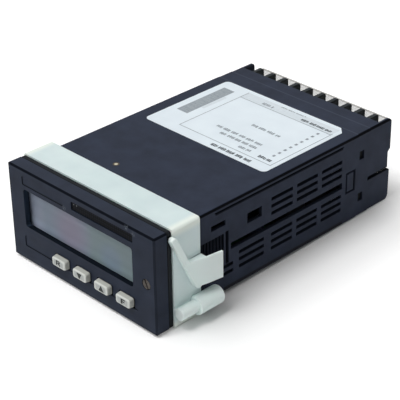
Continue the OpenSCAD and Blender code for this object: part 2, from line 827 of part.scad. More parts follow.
module bezel()
  color(charcoal)
    difference() {
      union() {
        difference() {
          union() {
            bezel_block();
            slab(2 * spigot_x, 2 * spigot_z, bezel_r, web_front, spigot_end);
          }
          box_between([bezel_wall - bezel_w / 2, bezel_w / 2 - bezel_wall],
                      [face_rear, web_front],
                      [bezel_wall - bezel_h / 2, bezel_h / 2 - bezel_wall]);
          box_between([-spigot_in_x, spigot_in_x], [face_rear, spigot_end + over],
                      [-board_top, board_top]);
          insert_room(bezel_rear, spigot_end);
        }
        bar_y(screw_x, 0, screw_head_r + tube_wall, face_rear - weld, bezel_rear);
        for (p = posts)
          bar_y(p[0], p[1], post_r, face_rear - weld, display_board_front);
      }
      slab(window_w, window_h, window_r, bezel_front - over, face_rear + over, window_x, window_z);
      slab(strip_w, strip_h, recess_r, bezel_front - over, face_rear + over, strip_x, strip_z);
      slab(name_w, name_h, recess_r, bezel_front - over, bezel_front + recess_t, name_x, name_z);
      slab(bay_w, bay_h, recess_r, bezel_front - over, bezel_front + recess_t, bay_x, key_z);
      for (i = [0 : key_n - 1])
        key_opening(i);
      bar_y(screw_x, 0, screw_head_r + slip, bezel_front - over, screw_seat);
      bar_y(screw_x, 0, screw_r + run, bezel_front - over, bezel_rear + over);
      for (p = posts)
        bar_y(p[0], p[1], small_r, face_rear + room, display_board_front + over);
      both_sides() both_rows()
        bar_z(board_screw_x, board_screw_y, small_r, board_top - slip, spigot_z + over);
    }

// Room in the plug-in unit for the sleeve's boss round the insert
module insert_room(y0, y1)
  box_between([insert_x - boss_gap, bezel_w], [y0, y1 + over],
              [-insert_z - boss_gap, insert_z + boss_gap]);

module bezel_gasket()
  color(black)
    difference() {
      slab(bezel_w - 4 * flange_set, bezel_h - 4 * flange_set, bezel_r, bezel_rear, flange_front);
      box_between([-bore_x, bore_x], [bezel_rear - over, flange_front + over], [-bore_z, bore_z]);
      bar_y(screw_x, 0, insert_r, bezel_rear - over, flange_front + over);
    }

module display_window()
  color("#c9d2d6", 0.4)
    slab(window_w + 2 * lens_lap, window_h + 2 * lens_lap, window_r, face_rear, lens_rear,
         window_x, window_z);

module display_glass()
  color("#7d888e")
    slab(window_w + 2 * lens_lap, window_h + 2 * lens_lap, window_r, glass_front, glass_rear,
         window_x, window_z);

module display_holder()
  color(black)
    slab(window_w + 2 * lens_lap, window_h + 2 * lens_lap, window_r,
         glass_rear, display_board_front, window_x, window_z);

module indicator_lens()
  color("#1b1c21")
    union() {
      slab(strip_w - slip, strip_h - slip, recess_r,
           bezel_front + strip_set, face_rear + weld, strip_x, strip_z);
      slab(strip_w + 2 * strip_lap, strip_h + 2 * strip_lap, recess_r,
           face_rear, face_rear + strip_flange_t, strip_x, strip_z);
    }

module indicator_board()
  color(board_green)
    slab(strip_w, strip_h, recess_r, web_front - led_board_t, web_front, strip_x, strip_z);

module indicator_leds()
  color("#b8bdc0")
    for (i = [0 : led_n - 1])
      translate([strip_x + (i - (led_n - 1) / 2) * strip_w / led_n, 0, strip_z])
        box_between([-led[0] / 2, led[0] / 2],
                    [face_rear + strip_flange_t + play, web_front - led_board_t],
                    [-led[1] / 2, led[1] / 2]);

// A keycap with tapered sides and eased edges, its flange and its stem
module key(i) {
  root_w = key_w + 2 * key_taper;
  root_h = key_h + 2 * key_taper;
  flange_y = face_rear + play;
  tip = bezel_front - key_proud;
  color(cream)
    translate([key_x(i), 0, key_z])
      union() {
        hull($fn = 32) {
          slab(key_w - 2 * key_ease, key_h - 2 * key_ease, key_r - key_ease, tip, bezel_front);
          slab(key_w, key_h, key_r, tip + key_ease, bezel_front);
          slab(root_w, root_h, key_r, bezel_front, flange_y);
        }
        slab(root_w + 2 * key_lap, root_h + 2 * key_lap, key_r, flange_y, flange_y + key_flange_t);
        bar_y(0, 0, key_stem_r, flange_y, switch_front + stem_in);
      }
}

module key_1() key(0);
module key_2() key(1);
module key_3() key(2);
module key_4() key(3);

module key_switches()
  color(black)
    for (i = [0 : key_n - 1])
      translate([key_x(i), 0, key_z])
        difference() {
          slab(switch_w, switch_w, recess_r, switch_front, display_board_front);
          bar_y(0, 0, key_stem_r + slip, switch_front - over,
                switch_front + stem_in + key_travel + slip);
        }

// A screw along +Y with a slotted head, its head's outer face at y
module slotted_screw(x, z, y, head_r, head_t, r, length, lean = 0)
  translate([x, y, z])
    difference() {
      union() {
        bar_y(0, 0, head_r, 0, head_t);
        bar_y(0, 0, r, head_t / 2, length);
      }
      rotate([0, lean, 0])
        box_between([-slot_w / 2, slot_w / 2], [-over, head_t / 2], [-2 * head_r, 2 * head_r]);
    }

module front_screw()
  color(black)
    slotted_screw(screw_x, 0, screw_front, screw_head_r, screw_head_t, screw_r,
                  screw_reach - screw_front, screw_lean);

// Latch arm, in X and Y: the spring rib at its front, a flared block, and the finger plate behind it
module latch_section() {
  block_out = collar_x + latch_rear;
  plate_out = block_out + finger_out;
  plate_end = collar_rear + finger_len;
  polygon([
    [collar_x - weld, rib_front],
    [collar_x + rib_out, rib_front],
    [collar_x + rib_out, latch_y],
    [collar_x + latch_front, latch_y],
    [block_out, collar_rear],
    [plate_out, plate_end],
    [plate_out - finger_t, plate_end],
    [block_out - finger_t, collar_rear],
    [collar_x + slip, collar_rear],
    [collar_x + slip, latch_low_y],
    [collar_x - weld, latch_low_y]
  ]);
}

// Pawl, in X and Y: it slants in to its rear through the gap in the wall
module pawl_section()
  polygon([
    [collar_x + 2 * slip, collar_rear],
    [collar_x, collar_rear],
    [collar_in_x, collar_rear - pawl_flat],
    [collar_x - slip, collar_rear - pawl_len],
    [collar_x + 2 * slip, collar_rear - pawl_len]
  ]);

// Latch arm, in Y and Z: its front edge slants and its lower front corner is round
module latch_side()
  polygon(concat(
    [
      [latch_y, latch_h],
      [collar_rear + finger_len, latch_h],
      [collar_rear + finger_len, -latch_h]
    ],
    arc([latch_low_y + latch_r, latch_r - latch_h], latch_r, -90, -180)
  ));

// Spring rib, in Y and Z: a slanting bar with round ends, from its tip to below the arm's lower corner
module rib_side() {
  tip = [rib_front + rib_r, rib_z];
  foot = [latch_low_y + rib_r, rib_r - latch_h - rib_below];
  run_dir = (foot - tip) / norm(foot - tip);
  across = [-run_dir[1], run_dir[0]] * rib_r;
  translate(tip) circle(rib_r);
  translate(foot) circle(rib_r);
  polygon([tip + across, foot + across, foot - across, tip - across]);
}

// Jack screw boss, turned about Y
module boss()
  translate([jack_x, collar_front, jack_z])
    rotate([-90, 0, 0])
      rotate_extrude()
        polygon(concat(
          [[0, 0], [boss_r, 0], [boss_r, boss_len], [boss_rear_r, boss_len]],
          arc([boss_rear_r - boss_rim, boss_len + boss_rear_len - boss_rim], boss_rim, 0, 90, 4),
          [[0, boss_len + boss_rear_len]]
        ));

module collar()
  color(off_white)
    difference() {
      union() {
        difference() {
          slab(2 * collar_x, 2 * collar_z, collar_r, collar_front, collar_rear);
          box_between([-collar_in_x, collar_in_x], [collar_front - over, collar_rear + over],
                      [-collar_in_z, collar_in_z]);
          both_sides()
            box_between([collar_in_x - over, collar_x + over],
                        [collar_rear - pawl_len - latch_gap, collar_rear + over],
                        [-pawl_h - latch_gap, pawl_h + latch_gap]);
        }
        both_sides() {
          intersection() {
            translate([0, 0, -collar_z]) linear_extrude(2 * collar_z) latch_section();
            along_x(collar_in_x - over, collar_x + 2 * latch_rear) {
              latch_side();
              rib_side();
            }
          }
          translate([0, 0, -pawl_h]) linear_extrude(2 * pawl_h) pawl_section();
          boss();
          box_between([collar_x - weld, jack_x], [collar_front, collar_rear],
                      [jack_z - boss_web, jack_z + boss_web]);
        }
      }
      both_sides() {
        bar_y(jack_x, jack_z, jack_r + run, collar_front - over, boss_end + over);
        bar_y(jack_x, jack_z, jack_head_r + hole_gap, jack_end - jack_head_t - play, boss_end + over);
      }
    }

// A jack screw goes in from the rear, and its tip is level with the collar's front
module jack_screw()
  color(off_white)
    translate([jack_x, jack_end, jack_z])
      rotate([0, 0, 180])
        slotted_screw(0, 0, 0, jack_head_r, jack_head_t, jack_r, jack_end - collar_front);

module jack_screw_right() jack_screw();
module jack_screw_left() mirror([1, 0, 0]) jack_screw();

module rating_label() {
  corner = [label_w, label_l] / 2;
  color(paper)
    translate([label_shift, label_y, case_z])
      linear_extrude(label_t)
        difference() {
          rounded(label_w, label_l, label_r);
          polygon([
            corner + [-label_clip - over, over],
            corner + [over, over],
            corner + [over, -label_clip - over]
          ]);
        }
}

// A barrier fin, in Y and Z: it steps up behind the sleeve's top wall and its rear corners are round
module fin_outline() {
  top = case_z - fin_drop;
  half = concat(
    [[floor_y - over, block_z], [plate_len + slip, block_z], [plate_len + slip, top]],
    arc([fin_tip - fin_r, top - fin_r], fin_r, 90, 0)
  );
  polygon(concat(half, [for (i = [len(half) - 1 : -1 : 0]) [half[i][0], -half[i][1]]]));
}

// One contact: the strip beside the board and the plate under the clamp
module contact(grow = 0) {
  half = contact_w / 2 + grow;
  box_between([-half, half], [block_front + over, floor_y + contact_t / 2],
              [contact_top - contact_t - grow, contact_top + grow]);
  box_between([-pad_w / 2, pad_w / 2], [floor_y, floor_y + contact_t],
              [term_z - pad_reach, contact_top]);
}

module each_terminal()
  both_rows()
    for (i = [0 : term_n - 1])
      translate([term_x(i), 0, 0]) children();

module terminal_block()
  color(black)
    difference() {
      union() {
        box_between([-block_x, block_x], [block_front, floor_y], [-block_z, block_z]);
        box_between([-block_x, block_x], [floor_y - over, fin_tip], [-middle_t / 2, middle_t / 2]);
        for (i = [0 : term_n - 2])
          translate([fin_x(i), 0, 0]) along_x(-fin_t / 2, fin_t / 2) fin_outline();
        both_sides()
          for (z = [catch_up, catch_low])
            box_between([block_x - over, case_x - catch_down],
                        [catch_y + catch_gap, catch_y + catch[0] - catch_gap],
                        [z - catch[1] / 2 + catch_gap, z + catch[1] / 2 - catch_gap]);
      }
      both_rows()
        box_between([-spigot_in_x, spigot_in_x], [block_front - over, board_end + over],
                    [contact_top - contact_t - run, board_top + slip]);
      each_terminal() {
        contact(run);
        bar_y(0, term_z, term_r, floor_y - term_reach - slip, floor_y + over);
      }
      both_sides()
        bar_y(peg_x, 0, peg_r + run, fin_tip - peg_len - slip, fin_tip + over);
    }

module socket_contacts()
  color(brass)
    each_terminal()
      difference() {
        contact();
        bar_y(0, term_z, term_r + run, floor_y - over, floor_y + over);
      }

module terminal_clamps()
  color(steel)
    each_terminal()
      difference() {
        slab(clamp[0], clamp[1], recess_r, clamp_front, head_front, 0, term_z);
        bar_y(0, term_z, term_r + run, clamp_front - over, head_front + over);
      }

module terminal_screws()
  color(steel)
    each_terminal()
      rotate([0, 0, 180])
        slotted_screw(0, term_z, -head_front - term_head_t, term_head_r, term_head_t,
                      term_r - press, head_front + term_head_t - floor_y + term_reach);

// Clear sheet over the fins' tips: it leaves the first cell open
module terminal_cover()
  color("#cdd5d8", 0.3)
    union() {
      box_between([-outer_fin, block_x], [fin_tip, fin_tip + cover_t], [-cover_z, cover_z]);
      both_sides()
        bar_y(peg_x, 0, peg_r, fin_tip - peg_len, fin_tip + cover_t / 2);
    }

module display_board()
  color(board_green)
    difference() {
      slab(2 * display_board_x, 2 * display_board_z, recess_r,
           display_board_front, display_board_rear);
      insert_room(display_board_front - over, display_board_rear);
      for (p = posts)
        bar_y(p[0], p[1], small_r + hole_gap, display_board_front - over, display_board_rear + over);
    }

// A horizontal board: narrow at its front and at its plug end, full width in the rails
module horizontal_board()
  color(board_green)
    difference() {
      union() {
        box_between([-tongue_x, tongue_x], [board_front, board_end], [board_low, board_top]);
        box_between([-spigot_x, spigot_x], [spigot_end + room, block_front - room],
                    [board_low, board_top]);
      }
      both_sides()
        bar_z(board_screw_x, board_screw_y, small_r + hole_gap, board_low - over, board_top + over);
    }

module upper_board() horizontal_board();
module lower_board() mirror([0, 0, 1]) horizontal_board();

module board_headers()
  color(black)
    both_rows()
      box_between([-header_half, header_half], [display_board_rear, display_board_rear + header_t],
                  [board_low - header_t, board_low]);

module board_spacers()
  color(steel)
    both_sides()
      translate([insert_x - spacer_r - room, block_front - spacer_r - room, -board_low])
        cylinder(h = 2 * board_low, r = spacer_r, $fn = 6);

module board_screws()
  color(steel)
    union() {
      for (p = posts)
        rotate([0, 0, 180])
          small_screw(-p[0], p[1], -display_board_rear, post_bite);
      both_sides() both_rows()
        translate([board_screw_x, board_screw_y, board_low])
          rotate([90, 0, 0])
            small_screw(0, 0, 0, spigot_bite);
    }

// A small screw through a board whose near face is at y
module small_screw(x, z, y, bite)
  slotted_screw(x, z, y - small_head_t, small_head_r, small_head_t, small_r - press,
                small_head_t + board_t + bite);

// Laminated core: a block with two windows beside its middle leg
module transformer_core()
  color("#4a4a4c")
    translate(core_at)
      difference() {
        box_between([-core[0] / 2, core[0] / 2], [-core[1] / 2, core[1] / 2], [0, core_h]);
        both_sides()
          box_between([core_leg / 2, core[0] / 2 - core_rim], [-core[1], core[1]],
                      [core_rim, core_h - core_rim]);
      }

// Coil wound round the core's middle leg, inside its windows
module transformer_coil()
  color("#a8742c")
    translate(core_at + [0, 0, core_rim + slip])
      linear_extrude(core_h - 2 * core_rim - 2 * slip)
        difference() {
          rounded(core[0] - 2 * core_rim - 2 * slip, core[1] + 2 * coil_out, coil_r);
          square([core_leg + 2 * run, core[1] + 2 * run], center = true);
        }

module relays()
  color(black)
    for (i = [0, 1])
      translate(relay_at + [0, i * relay_pitch, 0])
        linear_extrude(relay[2]) rounded(relay[0], relay[1], relay_r);

// A can with a crimped groove near its foot and an eased top
module capacitor(size)
  rotate_extrude()
    polygon([
      [0, 0],
      [size[0], 0],
      [size[0], crimp[0] - crimp[1]],
      [size[0] - crimp[1], crimp[0]],
      [size[0], crimp[0] + crimp[1]],
      [size[0], size[1] - cap_ease],
      [size[0] - cap_ease, size[1]],
      [0, size[1]]
    ]);

module capacitors()
  color("#22304f")
    translate(cap_at) {
      capacitor(big_cap);
      for (sx = [-1, 1])
        translate([sx * cap_pitch, 0, 0]) capacitor(small_cap);
    }

// A chip under the upper board: a notched body and two rows of legs
module chip(size) {
  legs = floor(size[0] / leg_pitch);
  notch_r = size[1] / 6;
  translate([-size[0] / 2, -size[1] / 2, board_low - chip_lift - size[2]])
    difference() {
      cube(size);
      translate([0, size[1] / 2, -over]) cylinder(h = over + chip_lift, r = notch_r);
    }
  for (i = [0 : legs - 1], sy = [-1, 1])
    translate([(i - (legs - 1) / 2) * leg_pitch, sy * size[1] / 2, 0])
      box_between([-leg[0] / 2, leg[0] / 2], [-leg[1] / 2, leg[1] / 2],
                  [board_low - chip_lift - size[2] / 2, board_low]);
}

module chips()
  color(black)
    translate([0, chip_y, 0]) {
      chip(big_chip);
      for (sx = [-1, 1], row = [1, 2])
        translate([sx * small_chip[0], row * chip_pitch, 0]) chip(small_chip);
    }

case();
bezel();
bezel_gasket();
display_window();
display_glass();
display_holder();
indicator_lens();
indicator_board();
indicator_leds();
key_1();
key_2();
key_3();
key_4();
key_switches();
front_screw();
screw_insert();
collar();
jack_screw_right();
jack_screw_left();
rating_label();
terminal_block();
terminal_screws();
terminal_clamps();
socket_contacts();
terminal_cover();
display_board();
upper_board();
lower_board();
board_headers();
board_spacers();
board_screws();
transformer_core();
transformer_coil();
relays();
capacitors();
chips();
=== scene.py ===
import json
import math

import bmesh
import bpy
import numpy as np
from mathutils import Matrix, Vector

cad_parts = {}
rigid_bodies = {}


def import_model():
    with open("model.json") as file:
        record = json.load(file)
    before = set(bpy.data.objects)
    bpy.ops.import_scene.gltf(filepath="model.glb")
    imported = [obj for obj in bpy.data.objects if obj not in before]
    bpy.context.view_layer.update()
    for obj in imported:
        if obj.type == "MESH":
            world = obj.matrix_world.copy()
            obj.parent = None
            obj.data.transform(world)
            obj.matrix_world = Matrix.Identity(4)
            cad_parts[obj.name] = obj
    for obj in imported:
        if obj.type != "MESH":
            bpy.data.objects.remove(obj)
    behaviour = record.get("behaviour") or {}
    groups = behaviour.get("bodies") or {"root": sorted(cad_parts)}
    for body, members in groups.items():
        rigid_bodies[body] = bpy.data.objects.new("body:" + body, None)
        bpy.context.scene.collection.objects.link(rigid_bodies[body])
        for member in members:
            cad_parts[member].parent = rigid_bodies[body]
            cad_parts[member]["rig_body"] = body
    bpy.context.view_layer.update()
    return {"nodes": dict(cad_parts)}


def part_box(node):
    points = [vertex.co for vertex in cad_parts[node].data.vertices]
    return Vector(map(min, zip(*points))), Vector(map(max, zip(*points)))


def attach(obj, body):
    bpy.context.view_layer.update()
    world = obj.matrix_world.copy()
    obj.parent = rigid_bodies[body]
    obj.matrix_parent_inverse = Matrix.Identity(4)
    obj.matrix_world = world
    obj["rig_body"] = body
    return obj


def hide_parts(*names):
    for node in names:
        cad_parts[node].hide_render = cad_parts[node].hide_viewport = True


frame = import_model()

mm = 0.001  # the frame is in metres, and sizes below are in millimetres
scene = bpy.context.scene
print("frame loaded:", len(frame["nodes"]), "nodes")


# a node's lowest and highest corners in mm
def boxInMm(nodeName):
    return np.array([list(corner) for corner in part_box(nodeName)]) / mm


# sRGB hex to linear light
def hexToLinear(code):
    value = np.array([int(code[i:i + 2], 16) for i in (1, 3, 5)]) / 255
    linear = np.where(value <= 0.04045, value / 12.92, ((value + 0.055) / 1.055) ** 2.4)
    return (*linear.tolist(), 1.0)


# adds a node: inputs that are sockets are linked, other inputs are set, settings are attributes
def addNode(tree, kind, inputs=None, **settings):
    node = tree.nodes.new(kind)
    for key, value in settings.items():
        setattr(node, key, value)
    for key, value in (inputs or {}).items():
        if isinstance(value, bpy.types.NodeSocket):
            tree.links.new(value, node.inputs[key])
        else:
            node.inputs[key].default_value = value
    return node


# a colour that drifts between two hexes with noise of the given patch size in mm
def driftColour(inMm, dark, pale, patch, detail=3.0, low=0.3, high=0.7):
    tree = inMm.id_data
    noise = addNode(tree, "ShaderNodeTexNoise", {"Vector": inMm, "Scale": 1.0 / patch, "Detail": detail})
    spread = addNode(tree, "ShaderNodeMapRange",
                     {"Value": noise.outputs[0], "From Min": low, "From Max": high}).outputs[0]
    return addNode(tree, "ShaderNodeMix", {0: spread, 6: hexToLinear(dark), 7: hexToLinear(pale)},
                   data_type="RGBA").outputs[2]


# a finish starts as one shader, a colour that drifts to a second one where that is given, and the
# object's own place in mm
def startFinish(name, dark, pale=None, patch=None, **constants):
    finish = bpy.data.materials.new(name)
    finish.use_nodes = True
    tree = finish.node_tree
    tree.nodes.clear()
    place = addNode(tree, "ShaderNodeTexCoord").outputs["Object"]
    inMm = addNode(tree, "ShaderNodeVectorMath", {0: place, "Scale": 1.0 / mm}, operation="SCALE").outputs[0]
    inputs = {key.replace("_", " "): value for key, value in constants.items()}
    inputs["Base Color"] = driftColour(inMm, dark, pale, patch) if pale else hexToLinear(dark)
    shader = addNode(tree, "ShaderNodeBsdfPrincipled", inputs)
    addNode(tree, "ShaderNodeOutputMaterial", {"Surface": shader.outputs[0]})
    return finish, shader, inMm


# the axes of a place and, with abs in front, their lengths without a sign
def splitPlace(inMm):
    outward = addNode(inMm.id_data, "ShaderNodeVectorMath", {0: inMm}, operation="ABSOLUTE").outputs[0]
    signed, plain = (addNode(inMm.id_data, "ShaderNodeSeparateXYZ", {0: v}).outputs for v in (inMm, outward))
    return dict(zip(("x", "y", "z", "absX", "absY", "absZ"), (*signed, *plain)))


# masks taken together: the product is 1 where all of them are, the maximum where any is
def joinMasks(operation, *masks):
    joined = masks[0]
    for mask in masks[1:]:
        joined = addNode(mask.id_data, "ShaderNodeMath", {0: joined, 1: mask}, operation=operation).outputs[0]
    return joined


# 1 between low and high, falling to 0 over soft outside them; a bound of None is open
def bandMask(value, low, high, soft):
    ramps = [] if low is None else [(low - soft, low)]
    ramps += [] if high is None else [(high + soft, high)]
    return joinMasks("MULTIPLY", *(
        addNode(value.id_data, "ShaderNodeMapRange", {"Value": value, "From Min": start, "From Max": end},
                interpolation_type="SMOOTHSTEP").outputs[0] for start, end in ramps))


# 1 inside a ball of that radius round a point, falling to 0 over soft
def spotMask(inMm, centre, radius, soft):
    away = addNode(inMm.id_data, "ShaderNodeVectorMath", {0: inMm, 1: centre}, operation="DISTANCE")
    return bandMask(away.outputs["Value"], None, radius, soft)


# 1 inside a box of spans, each an axis with its low, high and soft
def boxMask(places, spans):
    return joinMasks("MULTIPLY", *(bandMask(places[axis], *bounds) for axis, *bounds in spans))


# what is left of a box where a second one is taken out of it
def frameMask(places, whole, inside):
    masks = [boxMask(places, spans) for spans in (whole, inside)]
    return addNode(masks[0].id_data, "ShaderNodeMath", dict(enumerate(masks)),
                   operation="SUBTRACT", use_clamp=True).outputs[0]


# 1 on lines that lie two spacings apart, falling to 0 over a width
def lineMask(value, spacing, width):
    tree = value.id_data
    away = addNode(tree, "ShaderNodeMath", {0: value, 1: spacing}, operation="PINGPONG").outputs[0]
    return addNode(tree, "ShaderNodeMapRange", {"Value": away, "From Min": width, "From Max": 0.0}).outputs[0]


# a colour laid over what a shader has so far, where a mask says so, at most by the given share
def layOver(shader, mask, code, share=1.0):
    tree, base = shader.id_data, shader.inputs["Base Color"]
    under = base.links[0].from_socket if base.is_linked else tuple(base.default_value)
    part = addNode(tree, "ShaderNodeMapRange", {"Value": mask, "To Max": share}).outputs[0]
    mixed = addNode(tree, "ShaderNodeMix", {0: part, 6: under, 7: hexToLinear(code)}, data_type="RGBA")
    tree.links.new(mixed.outputs[2], base)


# shades laid over one after another, each a colour, its share and its spans; gives their masks by name
def layShades(shader, places, shades):
    masks = {}
    for name, (code, share, *spans) in shades.items():
        masks[name] = boxMask(places, spans)
        layOver(shader, masks[name], code, share)
    return masks


# fine relief from noise of a grain size in mm, with its detail, strength and depth in mm
def addGrain(shader, inMm, size, detail, strength, depth):
    tree = shader.id_data
    noise = addNode(tree, "ShaderNodeTexNoise", {"Vector": inMm, "Scale": 1.0 / size, "Detail": detail})
    bump = addNode(tree, "ShaderNodeBump",
                   {"Height": noise.outputs[0], "Strength": strength, "Distance": depth * mm})
    tree.links.new(bump.outputs[0], shader.inputs["Normal"])


# 1 for light that meets the eye straight, off a gloss or through something clear
def seenByEye(tree):
    path = addNode(tree, "ShaderNodeLightPath").outputs
    return joinMasks("MAXIMUM", path["Is Camera Ray"], path["Is Glossy Ray"], path["Is Transmission Ray"])


def setFinish(mesh, finish):
    mesh.materials.clear()
    mesh.materials.append(finish)


def dress(finish, *nodeNames):
    for nodeName in nodeNames:
        setFinish(frame["nodes"][nodeName].data, finish)


# a mesh object at the origin from arrays of points in mm and faces
def meshPiece(name, points, faces, finish, smooth=True):
    mesh = bpy.data.meshes.new(name)
    mesh.from_pydata((np.asarray(points) * mm).tolist(), [], [list(map(int, f)) for f in faces])
    mesh.polygons.foreach_set("use_smooth", np.full(len(mesh.polygons), smooth))
    mesh.validate()
    mesh.update()
    setFinish(mesh, finish)
    piece = bpy.data.objects.new(name, mesh)
    scene.collection.objects.link(piece)
    return piece


# faces of closed loops carried along a path, whose ends close on two middle points that come last
def loftFaces(count, around):
    ring = np.arange(count - 1)[:, None] * around
    step = np.arange(around)[None, :]
    turn = (step + 1) % around
    ahead = ring + around
    quads = np.stack([ring + step, ahead + step, ahead + turn, ring + turn], -1).reshape(-1, 4)
    first, last, lastRing = count * around, count * around + 1, (count - 1) * around
    head = np.stack([np.full(around, first), step[0], turn[0]], -1)
    tail = np.stack([np.full(around, last), lastRing + turn[0], lastRing + step[0]], -1)
    return quads.tolist() + head.tolist() + tail.tolist()


# a rounded rectangle of half sizes a and b and corner radius r, as points in turn round it
def roundedLoop(a, b, r, perCorner=9):
    angle = np.linspace(0, np.pi / 2, perCorner)[None, :] + np.arange(4)[:, None] * np.pi / 2
    cornerX = np.array([1, -1, -1, 1])[:, None] * (a - r)
    cornerZ = np.array([1, 1, -1, -1])[:, None] * (b - r)
    return np.stack([cornerX + r * np.cos(angle), cornerZ + r * np.sin(angle)], -1).reshape(-1, 2)


# a flat ribbon of the given width along an open line of points (u, v)
def ribbon(line, width):
    line = np.asarray(line, float)
    ahead = np.gradient(line, axis=0)
    side = np.stack([-ahead[:, 1], ahead[:, 0]], -1)
    side = side / np.linalg.norm(side, axis=1, keepdims=True) * width / 2
    i = np.arange(len(line) - 1)
    quads = np.stack([2 * i, 2 * i + 2, 2 * i + 3, 2 * i + 1], -1)
    return np.stack([line - side, line + side], 1).reshape(-1, 2), quads


# a copy of a CAD node that stands in for it, with its loose triangles merged, shaded smooth up to an
# angle in degrees; points closer than weld in mm and faces flatter than flat in degrees become one
def mergedCopy(nodeName, finish, sharpAngle, weld=0.002, flat=0.5):
    source = frame["nodes"][nodeName]
    mesh = source.data.copy()
    mesh.name = nodeName + "_soft"
    shell = bmesh.new()
    shell.from_mesh(mesh)
    bmesh.ops.remove_doubles(shell, verts=shell.verts, dist=weld * mm)
    bmesh.ops.dissolve_limit(shell, angle_limit=math.radians(flat), verts=shell.verts, edges=shell.edges)
    shell.to_mesh(mesh)
    shell.free()
    if "custom_normal" in mesh.attributes:
        mesh.attributes.remove(mesh.attributes["custom_normal"])
    mesh.polygons.foreach_set("use_smooth", np.ones(len(mesh.polygons), bool))
    mesh.set_sharp_from_angle(angle=math.radians(sharpAngle))
    setFinish(mesh, finish)
    piece = bpy.data.objects.new(nodeName + "_soft", mesh)
    scene.collection.objects.link(piece)
    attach(piece, source["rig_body"])
    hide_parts(nodeName)
    return piece


# rounds a piece's edges that bend by more than an angle; shares gives each edge's part of the width
# from its middle in mm
def easeEdges(piece, edge, shares):
    mesh = piece.data
    shell = bmesh.new()
    shell.from_mesh(mesh)
    bends = np.array([e.calc_face_angle(0.0) for e in shell.edges])
    shell.free()
    points = np.empty(3 * len(mesh.vertices))
    ends = np.empty(2 * len(mesh.edges), int)
    mesh.vertices.foreach_get("co", points)
    mesh.edges.foreach_get("vertices", ends)
    middles = points.reshape(-1, 3)[ends.reshape(-1, 2)].mean(1) / mm
    weights = mesh.attributes.new("bevel_weight_edge", "FLOAT", "EDGE")
    weights.data.foreach_set("value", (bends > math.radians(edge["angle"])) * shares(middles))
    bevel = piece.modifiers.new("eased_edges", "BEVEL")
    bevel.width = edge["width"] * mm
    bevel.segments = edge["segments"]
    bevel.limit_method = "WEIGHT"
    bevel.use_clamp_overlap = True
    bevel.harden_normals = True


# ABS moulded in a spark-eroded tool: a satin blue charcoal with a fine grain; painted shade makes it near
# black along the side's edges and round its cuts, and a painted highlight pales the front edges of the steps
# at the rear
# colours of the painted dark lines and of the painted highlight on the steps' front edges
caseEdge, caseStepHighlight = "#0b0d11", "#454b5a"
caseSide = ("absX", 44.9, None, 0.3)
caseFlank = ("absX", 43.6, None, 0.3)  # the side with the walls of its slots
caseLook = {
    "colours": ("#212735", "#293040", 9.0), "grain": (0.55, 2.0, 0.35, 0.02), "sheen": (0.1, 0.01),
    "shades": {
        # painted highlight on the front edges of the two steps
        "frontStep": (caseStepHighlight, 0.35, ("y", 121.8, 122.2, 0.6), ("z", 21.8, None, 0.6)),
        "rearStep": (caseStepHighlight, 0.35, ("y", 130.8, 131.2, 0.6), ("z", 21.8, None, 0.6)),
        "inner": ("#242832", 1.0, ("absX", None, 45.3, 0.1), ("absZ", None, 21.0, 0.1)),
        # painted shade: the rack's recess darker
        "rack": ("#191c24", 1.0, ("absX", 44.8, 45.4, 0.05), ("y", 4.0, 33.0, 0.05),
                 ("absZ", None, 7.5, 0.05)),
        # painted shade: dark lines along the side's upper and lower edges, round the rear slot and along the
        # engraving
        "upperEdge": (caseEdge, 1.0, ("z", 20.95, 22.0, 0.2), caseSide),
        "lowerEdge": (caseEdge, 0.9, ("y", 33.0, 112.0, 0.5), ("z", -21.4, -20.3, 0.5), caseSide),
        "rearSlot": (caseEdge, 0.8, ("y", 130.3, None, 0.4), ("z", -5.4, -3.6, 0.4), caseFlank),
        "engraving": (caseEdge, 0.8, ("y", 28.2, 110.8, 0.4), ("z", 18.6, 19.2, 0.4), caseFlank),
        # painted shade in the gap between the bezel and the collar
        "flange": ("#101315", 0.9, ("y", None, 0.1, 0.1))},
    "dull": ("inner", "upperEdge", "rearSlot", "engraving"),
    "blankWhole": (("y", 113.9, 120.7, 0.25), ("z", -6.5, 4.7, 0.25), caseSide),
    "blankInside": (("y", 114.9, 119.7, 0.25), ("z", -5.5, 3.7, 0.25), caseSide), "blankShare": 0.6,
    "speck": (-13.7, 24.8, 22.25), "speckRings": (("#5a5040", 1.25, 0.5), ("#cfc9b4", 0.65, 0.3))}
caseAbs, shader, inMm = startFinish("abs_spark_grain", *caseLook["colours"], Roughness=0.6, IOR=1.53)
tree = shader.id_data
places = splitPlace(inMm)
masks = layShades(shader, places, caseLook["shades"])
# painted shade: the blank is dark only along its engraved border
blank = frameMask(places, caseLook["blankWhole"], caseLook["blankInside"])
layOver(shader, blank, caseEdge, caseLook["blankShare"])
for code, radius, soft in caseLook["speckRings"]:
    layOver(shader, spotMask(inMm, caseLook["speck"], radius, soft), code)
# painted shade also takes the sheen off the upper edge, the rear slot, the engraving, the blank's border and
# the slot walls
dull = joinMasks("MAXIMUM", blank, *(masks[name] for name in caseLook["dull"]))
bright, flat = caseLook["sheen"]
sheen = addNode(tree, "ShaderNodeMapRange", {"Value": dull, "To Min": bright, "To Max": flat}).outputs[0]
tree.links.new(sheen, shader.inputs["Specular IOR Level"])
addGrain(shader, inMm, *caseLook["grain"])
dress(caseAbs, "case")
